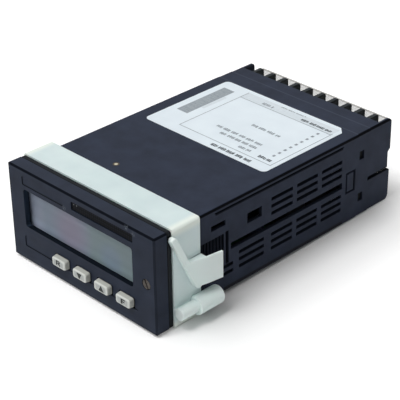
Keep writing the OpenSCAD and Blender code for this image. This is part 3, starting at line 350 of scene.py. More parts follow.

# the same ABS on the bezel: painted shade on its edges and in its openings, less on the window's left wall,
# a painted dark line at the left and lower side of its two shallow fields, and three pale spots
bezelLook = {
    "colours": ("#202633", "#282f3e", 11.0), "grain": (0.556, 2.0, 0.3, 0.02), "sheen": (0.08, 0.01),
    "edge": "#090b0f", "edgeWidth": 0.7, "edgeSoft": 0.25, "sideEdge": 0.4, "topEdge": 0.85,
    "window": (("x", -38.1, 34.5, 0.06), ("y", -9.62, 0.0, 0.06), ("z", -5.6, 14.3, 0.06)),
    "openings": (("x", -47.0, 47.0, 0.06), ("y", -9.3, -6.0, 0.06), ("z", -23.0, 23.0, 0.06)),
    "wall": "#10151c", "leftWall": "#26303d", "leftSpan": (-40.0, -36.6, 0.3),
    "fields": ((-38.2, -9.9, 16.1, 20.5), (-39.2, 36.6, -16.2, -10.6)), "fieldDepth": (-9.66, -9.3),
    "fieldLine": 0.55, "fieldSoft": (0.05, 0.2), "fieldShare": 0.75,
    "scuffs": ((31.2, -9.7, 23.0), (35.4, -9.7, 21.5), (-9.2, -9.7, 15.6)), "scuff": ("#6d747d", 0.6),
    "scuffReach": (0.3, 1.5), "wear": 0.455, "worn": (0.45, 0.6)}
bezelAbs, shader, inMm = startFinish("abs_bezel", *bezelLook["colours"], Roughness=0.52, IOR=1.53)
tree = shader.id_data
places = splitPlace(inMm)
# painted shade on an edge, where two of the three outer faces are near, fainter where the front turns to a
# side
lowest, highest = boxInMm("bezel")
width, soft = bezelLook["edgeWidth"], bezelLook["edgeSoft"]
nearSide = bandMask(places["absX"], highest[0] - width, None, soft)
nearTop = bandMask(places["absZ"], highest[2] - width, None, soft)
nearFront = bandMask(places["y"], None, lowest[1] + width, soft)
layOver(shader, joinMasks("MULTIPLY", nearFront, nearSide), bezelLook["edge"], bezelLook["sideEdge"])
topEdge = joinMasks("MULTIPLY", joinMasks("MAXIMUM", nearFront, nearSide), nearTop)
layOver(shader, topEdge, bezelLook["edge"], bezelLook["topEdge"])
# painted shade on the walls in the window and the key openings, less dark on the window's left wall
walls = joinMasks("MAXIMUM", boxMask(places, bezelLook["window"]), boxMask(places, bezelLook["openings"]))
layOver(shader, walls, bezelLook["wall"])
leftWall = joinMasks("MULTIPLY", walls, bandMask(places["x"], *bezelLook["leftSpan"]))
layOver(shader, leftWall, bezelLook["leftWall"])
# painted shade: a dark line inside the left and lower side of each shallow field
line, (soft, lineSoft) = bezelLook["fieldLine"], bezelLook["fieldSoft"]
for left, right, low, high in bezelLook["fields"]:
    whole = (("x", left, right, soft), ("y", *bezelLook["fieldDepth"], soft), ("z", low, high, soft))
    inside = (("x", left + line, None, lineSoft), ("z", low + line, None, lineSoft))
    layOver(shader, frameMask(places, whole, inside), bezelLook["edge"], bezelLook["fieldShare"])
# three pale spots, broken up by noise
low, high = bezelLook["worn"]
wear = addNode(tree, "ShaderNodeTexNoise", {"Vector": inMm, "Scale": 1.0 / bezelLook["wear"], "Detail": 4.0})
worn = addNode(tree, "ShaderNodeMapRange",
               {"Value": wear.outputs[0], "From Min": low, "From Max": high}).outputs[0]
for centre in bezelLook["scuffs"]:
    scuff = spotMask(inMm, centre, *bezelLook["scuffReach"])
    layOver(shader, joinMasks("MULTIPLY", scuff, worn), *bezelLook["scuff"])
# the painted edges and walls also lose their sheen
dull = joinMasks("MAXIMUM", topEdge, walls)
bright, flat = bezelLook["sheen"]
sheen = addNode(tree, "ShaderNodeMapRange", {"Value": dull, "To Min": bright, "To Max": flat}).outputs[0]
tree.links.new(sheen, shader.inputs["Specular IOR Level"])
addGrain(shader, inMm, *bezelLook["grain"])
dress(bezelAbs, "bezel")
print("case and bezel dressed")

# nylon, moulded and unpainted: a cool milky white that lets a little light in, with painted light and
# highlights
collarLook = {
    "colours": ("#cfdfe0", "#dbeae9", 18.0), "flow": (2.86, 3.0, 0.15, 0.15),
    # painted light on the latch, rib and bosses outside the ring wall, which the wall shades, and a painted
    # highlight on the ring's upper outer corners
    "shades": {"thin": ("#ebfaf6", 0.95, ("absX", 49.6, None, 0.8)),
               "rim": ("#f2f9ef", 0.75, ("absX", 47.2, 48.7, 3.5), ("absZ", 23.0, None, 3.5))},
    "edge": {"width": 1.1, "segments": 4, "angle": 35}, "ringShare": 0.45,
    "bossX": 51.3, "bossZ": -16.1, "bossRadius": 4.6, "bossStepY": 10.0, "bossNear": 0.1, "bore": 3.0,
    "armX": 49.2, "armY": 9.5, "armZ": 8.0, "ribX": 50.5, "ribStepY": 6.5, "ribNear": 0.02,
    "blockX": 50.0, "blockY": 16.1, "blockZ": -9.0}
collarNylon, shader, inMm = startFinish(
    "nylon_natural", *collarLook["colours"], Roughness=0.48, IOR=1.53, Specular_IOR_Level=0.35,
    Subsurface_Weight=0.4, Subsurface_Radius=(1.6, 1.8, 1.7), Subsurface_Scale=mm)
layShades(shader, splitPlace(inMm), collarLook["shades"])
addGrain(shader, inMm, *collarLook["flow"])


# the full width on the rib and the latch block, less on the ring and the bosses, none where edges are too
# close: the gap behind the arm, the screw bores, the bosses' steps, the small step where rib and arm meet
def collarShares(middles):
    look = collarLook
    x, y, z = np.abs(middles[:, 0]), middles[:, 1], middles[:, 2]
    fromBoss = np.hypot(x - look["bossX"], z - look["bossZ"])
    behindArm = (x < look["armX"]) & (y > look["armY"]) & (np.abs(z) < look["armZ"])
    bossStep = (fromBoss < look["bossRadius"]) & (np.abs(y - look["bossStepY"]) < look["bossNear"])
    ribStep = (x > look["ribX"]) & (np.abs(y - look["ribStepY"]) < look["ribNear"])
    tooClose = behindArm | bossStep | ribStep | (fromBoss < look["bore"])
    broad = (x > look["blockX"]) & (y < look["blockY"]) & (z > look["blockZ"])
    return np.where(tooClose, 0.0, np.where(broad, 1.0, look["ringShare"]))


collarSoft = mergedCopy("collar", collarNylon, collarLook["edge"]["angle"])
easeEdges(collarSoft, collarLook["edge"], collarShares)
dress(collarNylon, "jack_screw_right", "jack_screw_left")
print("collar dressed")

# ABS keys, moulded cream grey: satin, with a painted highlight on the rounded edges, painted shade greying
# the front faces and painted light on the sides, and dark below the bezel's face, where no light comes
keyTip, bezelFront = boxInMm("key_1")[0][1], boxInMm("bezel")[0][1]
keyLook = {
    # painted shade: the key's own colours, greyer on the front faces; painted light: paler sides and a
    # painted highlight on the rim
    "colours": ("#a6aaa8", "#b8bcb9", 1.1), "flow": (0.625, 2.0, 0.12, 0.05),
    "shades": {"sides": ("#b9bbb4", 1.0, ("y", keyTip + 0.5, None, 0.1)),
               "rim": ("#dbded8", 0.85, ("y", keyTip + 0.13, keyTip + 0.5, 0.08)),
               "root": ("#14161b", 1.0, ("y", bezelFront + 0.25, None, 0.15))},
    "halfWidth": 4.4, "halfHeight": 2.2, "taper": 0.2, "corner": 1.1, "ease": 0.5, "crown": 0.12,
    "fan": (0.12, 1.0, 7), "easeLoops": 6, "flange": -7.0, "flangeDepth": 1.0, "lap": 1.1,
    "stem": 1.5, "stemCorner": 1.4985, "stemEnd": -2.4, "sharpAngle": 50}
keyAbs, shader, inMm = startFinish("abs_key_cream", *keyLook["colours"], Roughness=0.45, IOR=1.53,
                                   Specular_IOR_Level=0.4)
layShades(shader, splitPlace(inMm), keyLook["shades"])
addGrain(shader, inMm, *keyLook["flow"])


# rounded rectangles along Y: a crowned front, a quarter-round edge, tapering sides, then flange and stem
def keySurface(x, z):
    look = keyLook
    wide, high, corner, ease = (look[key] for key in ("halfWidth", "halfHeight", "corner", "ease"))
    front = roundedLoop(wide - ease, high - ease, corner - ease)
    sections = [(part * front, keyTip + look["crown"] * part ** 2) for part in np.linspace(*look["fan"])]
    for turn in np.linspace(0, np.pi / 2, look["easeLoops"] + 1)[1:]:
        inset = ease * (1 - np.sin(turn))
        sections.append((roundedLoop(wide - inset, high - inset, corner - inset),
                         keyTip + look["crown"] + ease * (1 - np.cos(turn))))
    root = roundedLoop(wide + look["taper"], high + look["taper"], corner)
    flange = roundedLoop(wide + look["taper"] + look["lap"], high + look["taper"] + look["lap"], corner)
    stem = roundedLoop(look["stem"], look["stem"], look["stemCorner"])
    flangeEnd = look["flange"] + look["flangeDepth"]
    sections += [(root, bezelFront), (root, look["flange"]), (flange, look["flange"]), (flange, flangeEnd),
                 (stem, flangeEnd), (stem, look["stemEnd"])]
    points = [np.stack([loop[:, 0] + x, np.full(len(loop), depth), loop[:, 1] + z], -1)
              for loop, depth in sections]
    ends = [[x, keyTip, z], [x, look["stemEnd"], z]]
    return np.concatenate([*points, ends]), loftFaces(len(sections), len(front))


# printed legends: letters as ribbons along their strokes and arrows as filled triangles, in (u, v) mm,
# each stroke with its width and each legend with its shift from the key's middle
bow = np.linspace(np.pi / 2, -np.pi / 2, 11)
downArrow = np.array([(-0.95, 0.75), (0.0, -0.95), (0.95, 0.75)])
letterR = [([(-0.6, -0.7), (-0.6, 0.7)], 0.45), ([(-0.6, 0.55), (0.1, 0.55)], 0.32),
           ([(-0.6, -0.04), (0.1, -0.04)], 0.3),
           (np.stack([0.1 + 0.4 * np.cos(bow), 0.255 + 0.295 * np.sin(bow)], -1), 0.38),
           ([(0.0, -0.05), (0.66, -0.7)], 0.45)]
letterF = [([(-0.6, -0.72), (-0.6, 0.72)], 0.6), ([(-0.6, 0.56), (0.7, 0.56)], 0.36),
           ([(-0.6, -0.02), (0.45, -0.02)], 0.34)]
legendLook = {"colours": ("#1f2322", "#2f3432", 0.6), "scale": 1.8, "lift": 0.02,
              "legends": ((letterR, (0.0, 0.3)), (downArrow, (0.1, 0.0)),
                          (downArrow[::-1] * (1, -1), (0.5, 0.0)), (letterF, (0.7, 0.0)))}
legendInk = startFinish("legend_ink", *legendLook["colours"], Roughness=0.6, IOR=1.45)[0]
for i, (legend, (shiftX, shiftZ)) in enumerate(legendLook["legends"]):
    name = "key_%d" % (i + 1)
    keyX, _, keyZ = boxInMm(name).mean(0)
    cap = meshPiece(name + "_cap", *keySurface(keyX, keyZ), keyAbs)
    cap.data.set_sharp_from_angle(angle=math.radians(keyLook["sharpAngle"]))
    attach(cap, name)
    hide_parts(name)
    if isinstance(legend, list):
        strokes = [ribbon(line, width) for line, width in legend]
        starts = np.cumsum([0] + [len(strip) for strip, quads in strokes])
        flat = np.concatenate([strip for strip, quads in strokes])
        faces = np.concatenate([quads + start for (strip, quads), start in zip(strokes, starts)])
    else:
        flat, faces = legend, [[0, 1, 2]]
    flat = flat * legendLook["scale"]
    points = np.stack([flat[:, 0] + keyX + shiftX, np.full(len(flat), keyTip - legendLook["lift"]),
                       flat[:, 1] + keyZ + shiftZ], -1)
    mark = meshPiece(name + "_legend", points, faces, legendInk, smooth=False)
    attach(mark, name)
print("keys made")

# polyester label film: cool white, satin, lightly dulled
labelFilm, shader, inMm = startFinish("polyester_label_film", "#dee8ef", "#e6f0f6", 16.0, Roughness=0.5,
                                      IOR=1.5, Specular_IOR_Level=0.3)
addGrain(shader, inMm, size=5.0, detail=2.0, strength=0.1, depth=0.1)
dress(labelFilm, "rating_label")

# generic label print, flat on the film: pale fields, a grey ground under bars, then grey marks, then bold
# marks, each a mesh of rectangles (left, right, low, high); a row of marks is (y, left, right, height)
labelLook = {
    "seed": 7, "lift": 0.015, "frame": (-21.3, 37.1, 71.1, 118.6), "frameGap": 5.0, "rule": 112.3,
    "line": 0.34, "bars": (-34.1, -27.0, 81.9, 114.4), "barCount": 64, "barSteps": (0.6, 0.9, 1.3),
    "side": (-26.7, -24.9, 91.0, 107.0), "dotX": 31.9, "dots": (79.2, 109.0, 9), "dot": (1.3, 1.6),
    "word": 6, "markStep": (0.45, 1.2, 90), "markShare": 0.7, "markTall": (0.6, 1.0), "patch": 1.2,
    "inks": {"fields": ("#d2dbe1", "#d9e2e8"), "ground": ("#a2abb1", "#aab3b9"),
             "marks": ("#848d94", "#979fa5"), "bold": ("#363c41", "#4b5257")},
    "rows": {"marks": ((94.7, 3.7, 22.3, 2.2), (82.9, -7.7, 22.3, 2.1), (78.9, -1.6, 21.9, 2.2),
                       (74.9, 14.1, 21.9, 2.0), (114.7, -8.4, -0.6, 2.4), (118.0, 1.0, 17.3, 0.8)),
             "bold": ((114.7, 16.6, 36.4, 2.2), (74.4, 26.9, 35.1, 2.4), (67.9, 3.4, 28.4, 2.4))}}
rng = np.random.default_rng(labelLook["seed"])
x0, x1, y0, y1 = labelLook["frame"]
left, right, low, high = labelLook["bars"]
rule, line, dotX, (dotWide, dotTall) = (labelLook[key] for key in ("rule", "line", "dotX", "dot"))
edges = np.cumsum(rng.choice(labelLook["barSteps"], 2 * labelLook["barCount"]))
edges = low + (edges - edges[0]) / (edges[-1] - edges[0]) * (high - low)
boxes = {"fields": [(x0, x1, rule, y1), labelLook["side"]], "ground": [labelLook["bars"]], "bold": [],
         "marks": [(x0, x0 + line, y0, y1), (x1 - line, x1, y0, y1 - labelLook["frameGap"]),
                   (x0, x1, y0, y0 + line), (x0, x1, rule - line / 2, rule + line / 2)]}
boxes["marks"] += [(left, right, *ends) for ends in edges.reshape(-1, 2)]
boxes["marks"] += [(dotX - dotWide / 2, dotX + dotWide / 2, y - dotTall / 2, y + dotTall / 2)
                   for y in np.linspace(*labelLook["dots"])]
for layer, (name, colours) in enumerate(labelLook["inks"].items()):
    for y, left, right, tall in labelLook["rows"].get(name, ()):
        cuts = np.concatenate([[left], left + np.cumsum(rng.uniform(*labelLook["markStep"]))])
        cuts = cuts[cuts < right]
        # every sixth mark is left out, so that a row reads as words
        boxes[name] += [(a, a + labelLook["markShare"] * (b - a),
                         y - tall / 2 * rng.uniform(*labelLook["markTall"]),
                         y + tall / 2 * rng.uniform(*labelLook["markTall"]))
                        for k, (a, b) in enumerate(zip(cuts[:-1], cuts[1:])) if (k + 1) % labelLook["word"]]
    ink = startFinish("label_ink_" + name, *colours, labelLook["patch"], Roughness=0.6, IOR=1.45,
                      Specular_IOR_Level=0.3)[0]
    corners = np.array(boxes[name])[:, [0, 2, 1, 2, 1, 3, 0, 3]].reshape(-1, 2)
    labelTop = boxInMm("rating_label")[1][2] + labelLook["lift"] * (layer + 1)
    points = np.column_stack([corners, np.full(len(corners), labelTop)])
    labelPrint = meshPiece("label_" + name, points, np.arange(len(points)).reshape(-1, 4), ink, smooth=False)
    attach(labelPrint, "sleeve")
print("label printed")

# acrylic window: quite clear, with a faint grey haze round its rim: dust, and painted light over the cell's
# shaded edges
windowLook = {"colours": ("#8d959c", "#9aa2a8", 20.0), "haze": 0.25,
              "clear": (("absX", None, 36.5, 1.2), ("absZ", None, 10.2, 1.2))}
windowClear, shader, inMm = startFinish("acrylic_window", *windowLook["colours"], Roughness=0.12, IOR=1.49,
                                        Specular_IOR_Level=0.25)
tree = shader.id_data
middle = tuple(boxInMm("display_window").mean(0))
fromMiddle = addNode(tree, "ShaderNodeVectorMath", {0: inMm, 1: middle}, operation="SUBTRACT").outputs[0]
clear = boxMask(splitPlace(fromMiddle), windowLook["clear"])
haze = addNode(tree, "ShaderNodeMapRange", {"Value": clear, "To Min": windowLook["haze"], "To Max": 0.0})
tree.links.new(haze.outputs[0], shader.inputs["Alpha"])
dress(windowClear, "display_window")

# liquid crystal cell under a grey polariser: blue grey, with a violet patch, greener to the right, bluer at
# its left end, and painted light makes it paler there and along its long edges, each given as (from z, to z,
# gain)
cellLook = {
    "colours": ("#768190", "#7a8592", 14.0), "paler": ((5.0, 9.0, 1.3), (0.0, -5.3, 1.72)),
    # bluer at the left end, and there paler as painted light where the window's left wall shades it
    "shades": {"left": ("#868e9e", 1.0, ("x", None, -33.5, 7.0)),
               "right": ("#738286", 1.0, ("x", 6.0, None, 9.0))},
    "spots": (("#7f7c8d", (-10.5, -5.8, 2.0), 3.0, 13.0), ("#71808d", (16.0, -5.8, -1.0), 3.0, 7.0))}
cellFilm, shader, inMm = startFinish("lcd_polariser", *cellLook["colours"], Roughness=0.4, IOR=1.5,
                                     Specular_IOR_Level=0.2)
tree, base = shader.id_data, shader.inputs["Base Color"]
places = splitPlace(inMm)
layShades(shader, places, cellLook["shades"])
for code, *ball in cellLook["spots"]:
    layOver(shader, spotMask(inMm, *ball), code)
# painted light: the cell made paler towards its long edges, which the window's walls shade
for start, end, gain in cellLook["paler"]:
    lift = addNode(tree, "ShaderNodeMapRange",
                   {"Value": places["z"], "From Min": start, "From Max": end, "To Min": 1.0, "To Max": gain},
                   interpolation_type="SMOOTHSTEP")
    lifted = addNode(tree, "ShaderNodeMix", {0: 1.0, 6: base.links[0].from_socket, 7: lift.outputs[0]},
                     data_type="RGBA", blend_type="MULTIPLY")
    tree.links.new(lifted.outputs[2], base)
dress(cellFilm, "display_glass")

# smoked acrylic strip with a dot screen printed behind it and two pale ticks; the real screen's dots are
# under half a millimetre, drawn coarser so that they show
stripLook = {"dot": "#14171f", "gap": "#030406", "pitch": 1.333, "stray": 0.1, "edge": (0.15, 0.5),
             "depth": 0.05, "tick": "#7c8084", "ticks": ((-2.8, -9.6, 19.9), (-0.9, -9.6, 20.0)),
             "tickReach": (0.28, 0.25)}
stripSmoked, shader, inMm = startFinish("acrylic_smoked", stripLook["dot"], Roughness=0.35, IOR=1.49,
                                        Specular_IOR_Level=0.03)
tree = shader.id_data
dots = addNode(tree, "ShaderNodeTexVoronoi", {"Vector": inMm, "Scale": 1.0 / stripLook["pitch"],
                                              "Randomness": stripLook["stray"]}).outputs["Distance"]
low, high = stripLook["edge"]
between = addNode(tree, "ShaderNodeMapRange", {"Value": dots, "From Min": low, "From Max": high}).outputs[0]
layOver(shader, between, stripLook["gap"])
for centre in stripLook["ticks"]:
    layOver(shader, spotMask(inMm, centre, *stripLook["tickReach"]), stripLook["tick"])
bump = addNode(tree, "ShaderNodeBump", {"Height": dots, "Strength": 0.2, "Distance": stripLook["depth"] * mm})
tree.links.new(bump.outputs[0], shader.inputs["Normal"])
dress(stripSmoked, "indicator_lens")

# polycarbonate sheet over the terminals: clear in the middle, hazed towards its cut upper and lower edges
coverTop = boxInMm("terminal_cover")[1][2]
coverLook = {"colours": ("#a9a7a1", "#b9b8b3", 12.0), "clear": 0.07, "haze": 0.3, "dense": 0.6,
             "shades": {"rim": ("#a6a39c", 1.0, ("absZ", coverTop - 0.35, None, 0.2))},
             "dusty": (coverTop - 3.25, None, 4.0)}
coverClear, shader, inMm = startFinish("polycarbonate_clear", *coverLook["colours"], Roughness=0.3, IOR=1.58,
                                       Specular_IOR_Level=0.1)
tree = shader.id_data
places = splitPlace(inMm)
rim = layShades(shader, places, coverLook["shades"])["rim"]
dusty = bandMask(places["absZ"], *coverLook["dusty"])
haze = addNode(tree, "ShaderNodeMapRange",
               {"Value": dusty, "To Min": coverLook["clear"], "To Max": coverLook["haze"]}).outputs[0]
haze = addNode(tree, "ShaderNodeMapRange", {"Value": rim, "To Min": haze, "To Max": coverLook["dense"]})
tree.links.new(haze.outputs[0], shader.inputs["Alpha"])
dress(coverClear, "terminal_cover")
print("clear pieces dressed")

# rubber ring: matt, near black, faintly dusty
sealRubber = startFinish("nitrile_rubber", "#131417", "#1e2024", 4.0, Roughness=0.85, IOR=1.52,
                         Specular_IOR_Level=0.1)[0]
dress(sealRubber, "bezel_gasket")

# black mouldings inside: satin, with flow marks
blackMoulding, shader, inMm = startFinish("pbt_black", "#0f1116", "#181a20", 6.0, Roughness=0.55, IOR=1.55,
                                          Specular_IOR_Level=0.06)
addGrain(shader, inMm, size=0.625, detail=3.0, strength=0.25, depth=0.03)
dress(blackMoulding, "display_holder", "key_switches", "board_headers")

# the rear block: charcoal PBT with glass fibre, paler and duller than the case, with fibres drawn out to
# the rear and dark lugs at its sides
fibreLook = {"colours": ("#25292b", "#33373a", 1.2), "stretch": (1.0, 0.25, 1.0),
             "shades": {"lugs": ("#0d1011", 1.0, ("absX", 43.2, None, 0.2))}}
fibrePbt, shader, inMm = startFinish("pbt_glass_filled", fibreLook["colours"][0], Roughness=0.65, IOR=1.55,
                                     Specular_IOR_Level=0.1)
tree = shader.id_data
fibre = addNode(tree, "ShaderNodeVectorMath", {0: inMm, 1: fibreLook["stretch"]}, operation="MULTIPLY")
tree.links.new(driftColour(fibre.outputs[0], *fibreLook["colours"]), shader.inputs["Base Color"])
layShades(shader, splitPlace(inMm), fibreLook["shades"])
dress(fibrePbt, "terminal_block")

# chips: dull epoxy bodies with tinned legs next to the board that they hang from
chipLook = {"colours": ("#1b1c1f", "#26272b", 2.0), "leg": "#8e9094", "legZ": (13.6, 14.0)}
chipEpoxy, shader, inMm = startFinish("epoxy_chip", *chipLook["colours"], Roughness=0.6, IOR=1.55)
low, high = chipLook["legZ"]
legs = addNode(shader.id_data, "ShaderNodeMapRange",
               {"Value": splitPlace(inMm)["z"], "From Min": low, "From Max": high})
layOver(shader, legs.outputs[0], chipLook["leg"])
dress(chipEpoxy, "chips")

# blackened steel screw: dark oxide with a brown glint
screwX, screwTip = boxInMm("front_screw").mean(0)[0], boxInMm("front_screw")[1][1]
screwLook = {"radius": 1.43, "start": -7.9, "thread": -3.0, "pitch": 0.7, "depth": 0.3, "lead": 0.7,
             "around": 28, "perTurn": 8, "stub": -7.6, "headAngle": 40, "threadAngle": 50}
blackSteel, shader, inMm = startFinish("steel_blackened", "#352f2a", "#524a43", 1.5, Roughness=0.45,
                                       Metallic=0.4)
addGrain(shader, inMm, size=0.25, detail=3.0, strength=0.2, depth=0.02)

# the head is the CAD's own, its edges left as they are, with its shank cut to a stub
screwHead = mergedCopy("front_screw", blackSteel, screwLook["headAngle"])
ends = np.empty(3 * len(screwHead.data.vertices))
screwHead.data.vertices.foreach_get("co", ends)
ends = ends.reshape(-1, 3)
ends[ends[:, 1] > 0, 1] = screwLook["stub"] * mm
screwHead.data.vertices.foreach_set("co", ends.ravel())
screwHead.data.update()

# the shank's radius drops by a triangle wave that winds round it once a pitch, and narrows at the tip
start, pitch, lead, around = (screwLook[key] for key in ("start", "pitch", "lead", "around"))
ringCount = int((screwTip - start) / pitch * screwLook["perTurn"])
along = np.linspace(start, screwTip, ringCount)[:, None]
turn = np.arange(around)[None, :] * 2 * np.pi / around
wave = np.abs(2 * ((along / pitch - turn / (2 * np.pi)) % 1) - 1)
cut = np.clip((along - screwLook["thread"]) / pitch, 0, 1)
narrow = np.clip((along - screwTip + lead) / lead, 0, 1)
radius = screwLook["radius"] - screwLook["depth"] * (wave * cut + narrow)
rings = np.stack([screwX + radius * np.cos(turn), along + 0 * turn, radius * np.sin(turn)], -1)
middles = [[screwX, start, 0.0], [screwX, screwTip, 0.0]]
thread = meshPiece("front_screw_thread", np.concatenate([rings.reshape(-1, 3), middles]),
                   loftFaces(ringCount, around), blackSteel)
thread.data.set_sharp_from_angle(angle=math.radians(screwLook["threadAngle"]))
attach(thread, "front_screw")
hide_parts("front_screw")

# zinc-plated steel: bright grey with a faint brushed streak
zincSteel, shader, inMm = startFinish("steel_zinc_plated", "#a5a7aa", "#bcbec1", 2.5, Roughness=0.32,
                                      Metallic=1.0)
addGrain(shader, inMm, size=0.333, detail=4.0, strength=0.2, depth=0.03)
dress(zincSteel, "terminal_screws", "terminal_clamps", "board_spacers", "board_screws")

# turned and stamped brass: warm, satin
brass = startFinish("brass_turned", "#a88b4a", "#c2a562", 2.0, Roughness=0.3, Metallic=1.0)[0]
dress(brass, "screw_insert", "socket_contacts")
print("metals dressed")

# glass epoxy boards: green resist over copper tracks that show paler, drawn twice as wide as real ones so
# that they show; a set of runs is (axis across, axis along, length, share left bare)
boardLook = {"colours": ("#163d27", "#1d4a30", 8.0), "track": "#2c6a45", "pitch": 1.9, "widthShare": 0.3,
             "soft": 0.06, "depth": 0.04, "runs": ((0, 1, 15.0, 0.42), (1, 0, 11.0, 0.72))}
boardEpoxy, shader, inMm = startFinish("glass_epoxy_board", *boardLook["colours"], Roughness=0.4, IOR=1.5,
                                       Specular_IOR_Level=0.4)
tree = shader.id_data
places = splitPlace(inMm)
# upright boards run along Z where flat ones run along Y
upOrBack = addNode(tree, "ShaderNodeMath", {0: places["y"], 1: places["z"]}, operation="ADD").outputs[0]
plane = (places["x"], upOrBack)
halfTrack = boardLook["widthShare"] / 2
trackSpan = (0.5 - halfTrack, 0.5 + halfTrack, boardLook["soft"])  # in the middle of its lane
tracks = []
for across, along, length, bare in boardLook["runs"]:
    lanes = addNode(tree, "ShaderNodeMath", {0: plane[across], 1: boardLook["pitch"]},
                    operation="DIVIDE").outputs[0]
    lane = addNode(tree, "ShaderNodeMath", {0: lanes}, operation="FLOOR").outputs[0]
    fromLane = addNode(tree, "ShaderNodeMath", {0: lanes}, operation="FRACT").outputs[0]
    stagger = addNode(tree, "ShaderNodeTexWhiteNoise", {"W": lane}, noise_dimensions="1D").outputs[0]
    runs = addNode(tree, "ShaderNodeMath", {0: plane[along], 1: 1.0 / length, 2: stagger},
                   operation="MULTIPLY_ADD").outputs[0]
    run = addNode(tree, "ShaderNodeMath", {0: runs}, operation="FLOOR").outputs[0]
    cell = addNode(tree, "ShaderNodeCombineXYZ", {0: lane, 1: run, 2: float(across)}).outputs[0]
    chance = addNode(tree, "ShaderNodeTexWhiteNoise", {"Vector": cell}, noise_dimensions="3D").outputs[0]
    laid = addNode(tree, "ShaderNodeMath", {0: chance, 1: bare}, operation="GREATER_THAN").outputs[0]
    tracks.append(joinMasks("MULTIPLY", bandMask(fromLane, *trackSpan), laid))
copper = joinMasks("MAXIMUM", *tracks)
layOver(shader, copper, boardLook["track"])
bump = addNode(tree, "ShaderNodeBump",
               {"Height": copper, "Strength": 0.4, "Distance": boardLook["depth"] * mm})
tree.links.new(bump.outputs[0], shader.inputs["Normal"])
dress(boardEpoxy, "display_board", "upper_board", "lower_board", "indicator_board")

# solder joints over the chips' legs and header pins, and under the parts on the lower board, each a hollow
# cone with a round top; a chip is (x, y, legs in a row, distance of its rows)
solderLook = {
    "foot": 0.62, "pin": 0.24, "height": 0.75, "hollow": 2.2, "pitch": 2.54, "around": 10, "rings": 5,
    "chips": ((0.0, 36.0, 14, 13.0), (-19.5, 52.0, 7, 6.4), (19.5, 52.0, 7, 6.4), (-19.5, 68.0, 7, 6.4),
              (19.5, 68.0, 7, 6.4)),
    "headerY": 3.45, "headerPins": 16, "coilX": (-28.0, -22.7, -17.3, -12.0), "coilY": (72.5, 95.5),
    "relayY": (90.0, 106.0),
    "relayPins": ((11.0, -3.75), (11.0, 3.75), (25.5, 0.0), (32.0, -3.75), (32.0, 3.75)),
    "cans": ((18.0, 66.0), (22.0, 66.0), (7.0, 64.4), (7.0, 67.6), (33.0, 64.4), (33.0, 67.6))}
solder = startFinish("solder_tin", "#a3a6a8", "#bdbfc1", 1.0, Roughness=0.35, Metallic=1.0)[0]
foot, pin, tall, pitch, around = (solderLook[key] for key in ("foot", "pin", "height", "pitch", "around"))
pins = solderLook["headerPins"]
headerSpots = [((i - (pins - 1) / 2) * pitch, solderLook["headerY"]) for i in range(pins)]
chipSpots = [(x + (i - (legs - 1) / 2) * pitch, y + side * wide / 2)
             for x, y, legs, wide in solderLook["chips"] for i in range(legs) for side in (-1, 1)]
lowSpots = [(x, y) for x in solderLook["coilX"] for y in solderLook["coilY"]]
lowSpots += [(x, y + off) for y in solderLook["relayY"] for x, off in solderLook["relayPins"]]
lowSpots += solderLook["cans"]
rise = np.linspace(0, 1, solderLook["rings"])[:, None]
turn = np.arange(around)[None, :] * 2 * np.pi / around
coneRadius = pin + (foot - pin) * (1 - rise) ** solderLook["hollow"]
coneFaces = loftFaces(solderLook["rings"], around)
for name, spots, face, sign in (("upper", headerSpots + chipSpots, boxInMm("upper_board")[1][2], 1),
                                ("lower", headerSpots + lowSpots, boxInMm("lower_board")[0][2], -1)):
    cone = np.stack([coneRadius * np.cos(turn), -sign * coneRadius * np.sin(turn),
                     face + sign * tall * rise + 0 * turn], -1)
    cone = np.concatenate([cone.reshape(-1, 3), [[0, 0, face], [0, 0, face + sign * (tall + pin / 2)]]])
    feet = np.column_stack([spots, np.zeros(len(spots))])
    points = (feet[:, None, :] + cone[None]).reshape(-1, 3)
    faces = [[i + k * len(cone) for i in f] for k in range(len(feet)) for f in coneFaces]
    joints = meshPiece("solder_" + name, points, faces, solder)
    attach(joints, "plug_in_unit")

# clear resin lamps: pale and glossy
lampResin = startFinish("epoxy_lamp", "#b9bdbf", "#d0d3d4", 0.8, Roughness=0.2, IOR=1.5)[0]
dress(lampResin, "indicator_leds")

# stacked steel laminations, varnished: fine dark grooves across the stack
coreLook = {"colours": ("#55585c", "#6c6f73", 5.0), "groove": "#26282b", "spacing": 0.5, "width": 0.16,
            "depth": 0.1}
coreSteel, shader, inMm = startFinish("steel_laminated", *coreLook["colours"], Roughness=0.45, Metallic=0.8)
groove = lineMask(splitPlace(inMm)["y"], coreLook["spacing"], coreLook["width"])
layOver(shader, groove, coreLook["groove"])
bump = addNode(shader.id_data, "ShaderNodeBump",
               {"Height": groove, "Strength": 0.5, "Distance": coreLook["depth"] * mm}, invert=True)
shader.id_data.links.new(bump.outputs[0], shader.inputs["Normal"])
dress(coreSteel, "transformer_core")

# polyester tape over the winding: amber, with darker lapped edges
tapeLook = {"colours": ("#b08a3a", "#c49d4b", 4.0), "lap": "#7d5a1e", "spacing": 3.2, "width": 0.5}
coilTape, shader, inMm = startFinish("polyester_tape", *tapeLook["colours"], Roughness=0.3, IOR=1.55)
layOver(shader, lineMask(splitPlace(inMm)["z"], tapeLook["spacing"], tapeLook["width"]), tapeLook["lap"])
dress(coilTape, "transformer_coil")

# relay covers: charcoal moulded PBT, smoother than the other black pieces
relayPbt = startFinish("pbt_relay_cover", "#101114", "#17181c", 5.0, Roughness=0.5, IOR=1.55,
                       Specular_IOR_Level=0.06)[0]
dress(relayPbt, "relays")

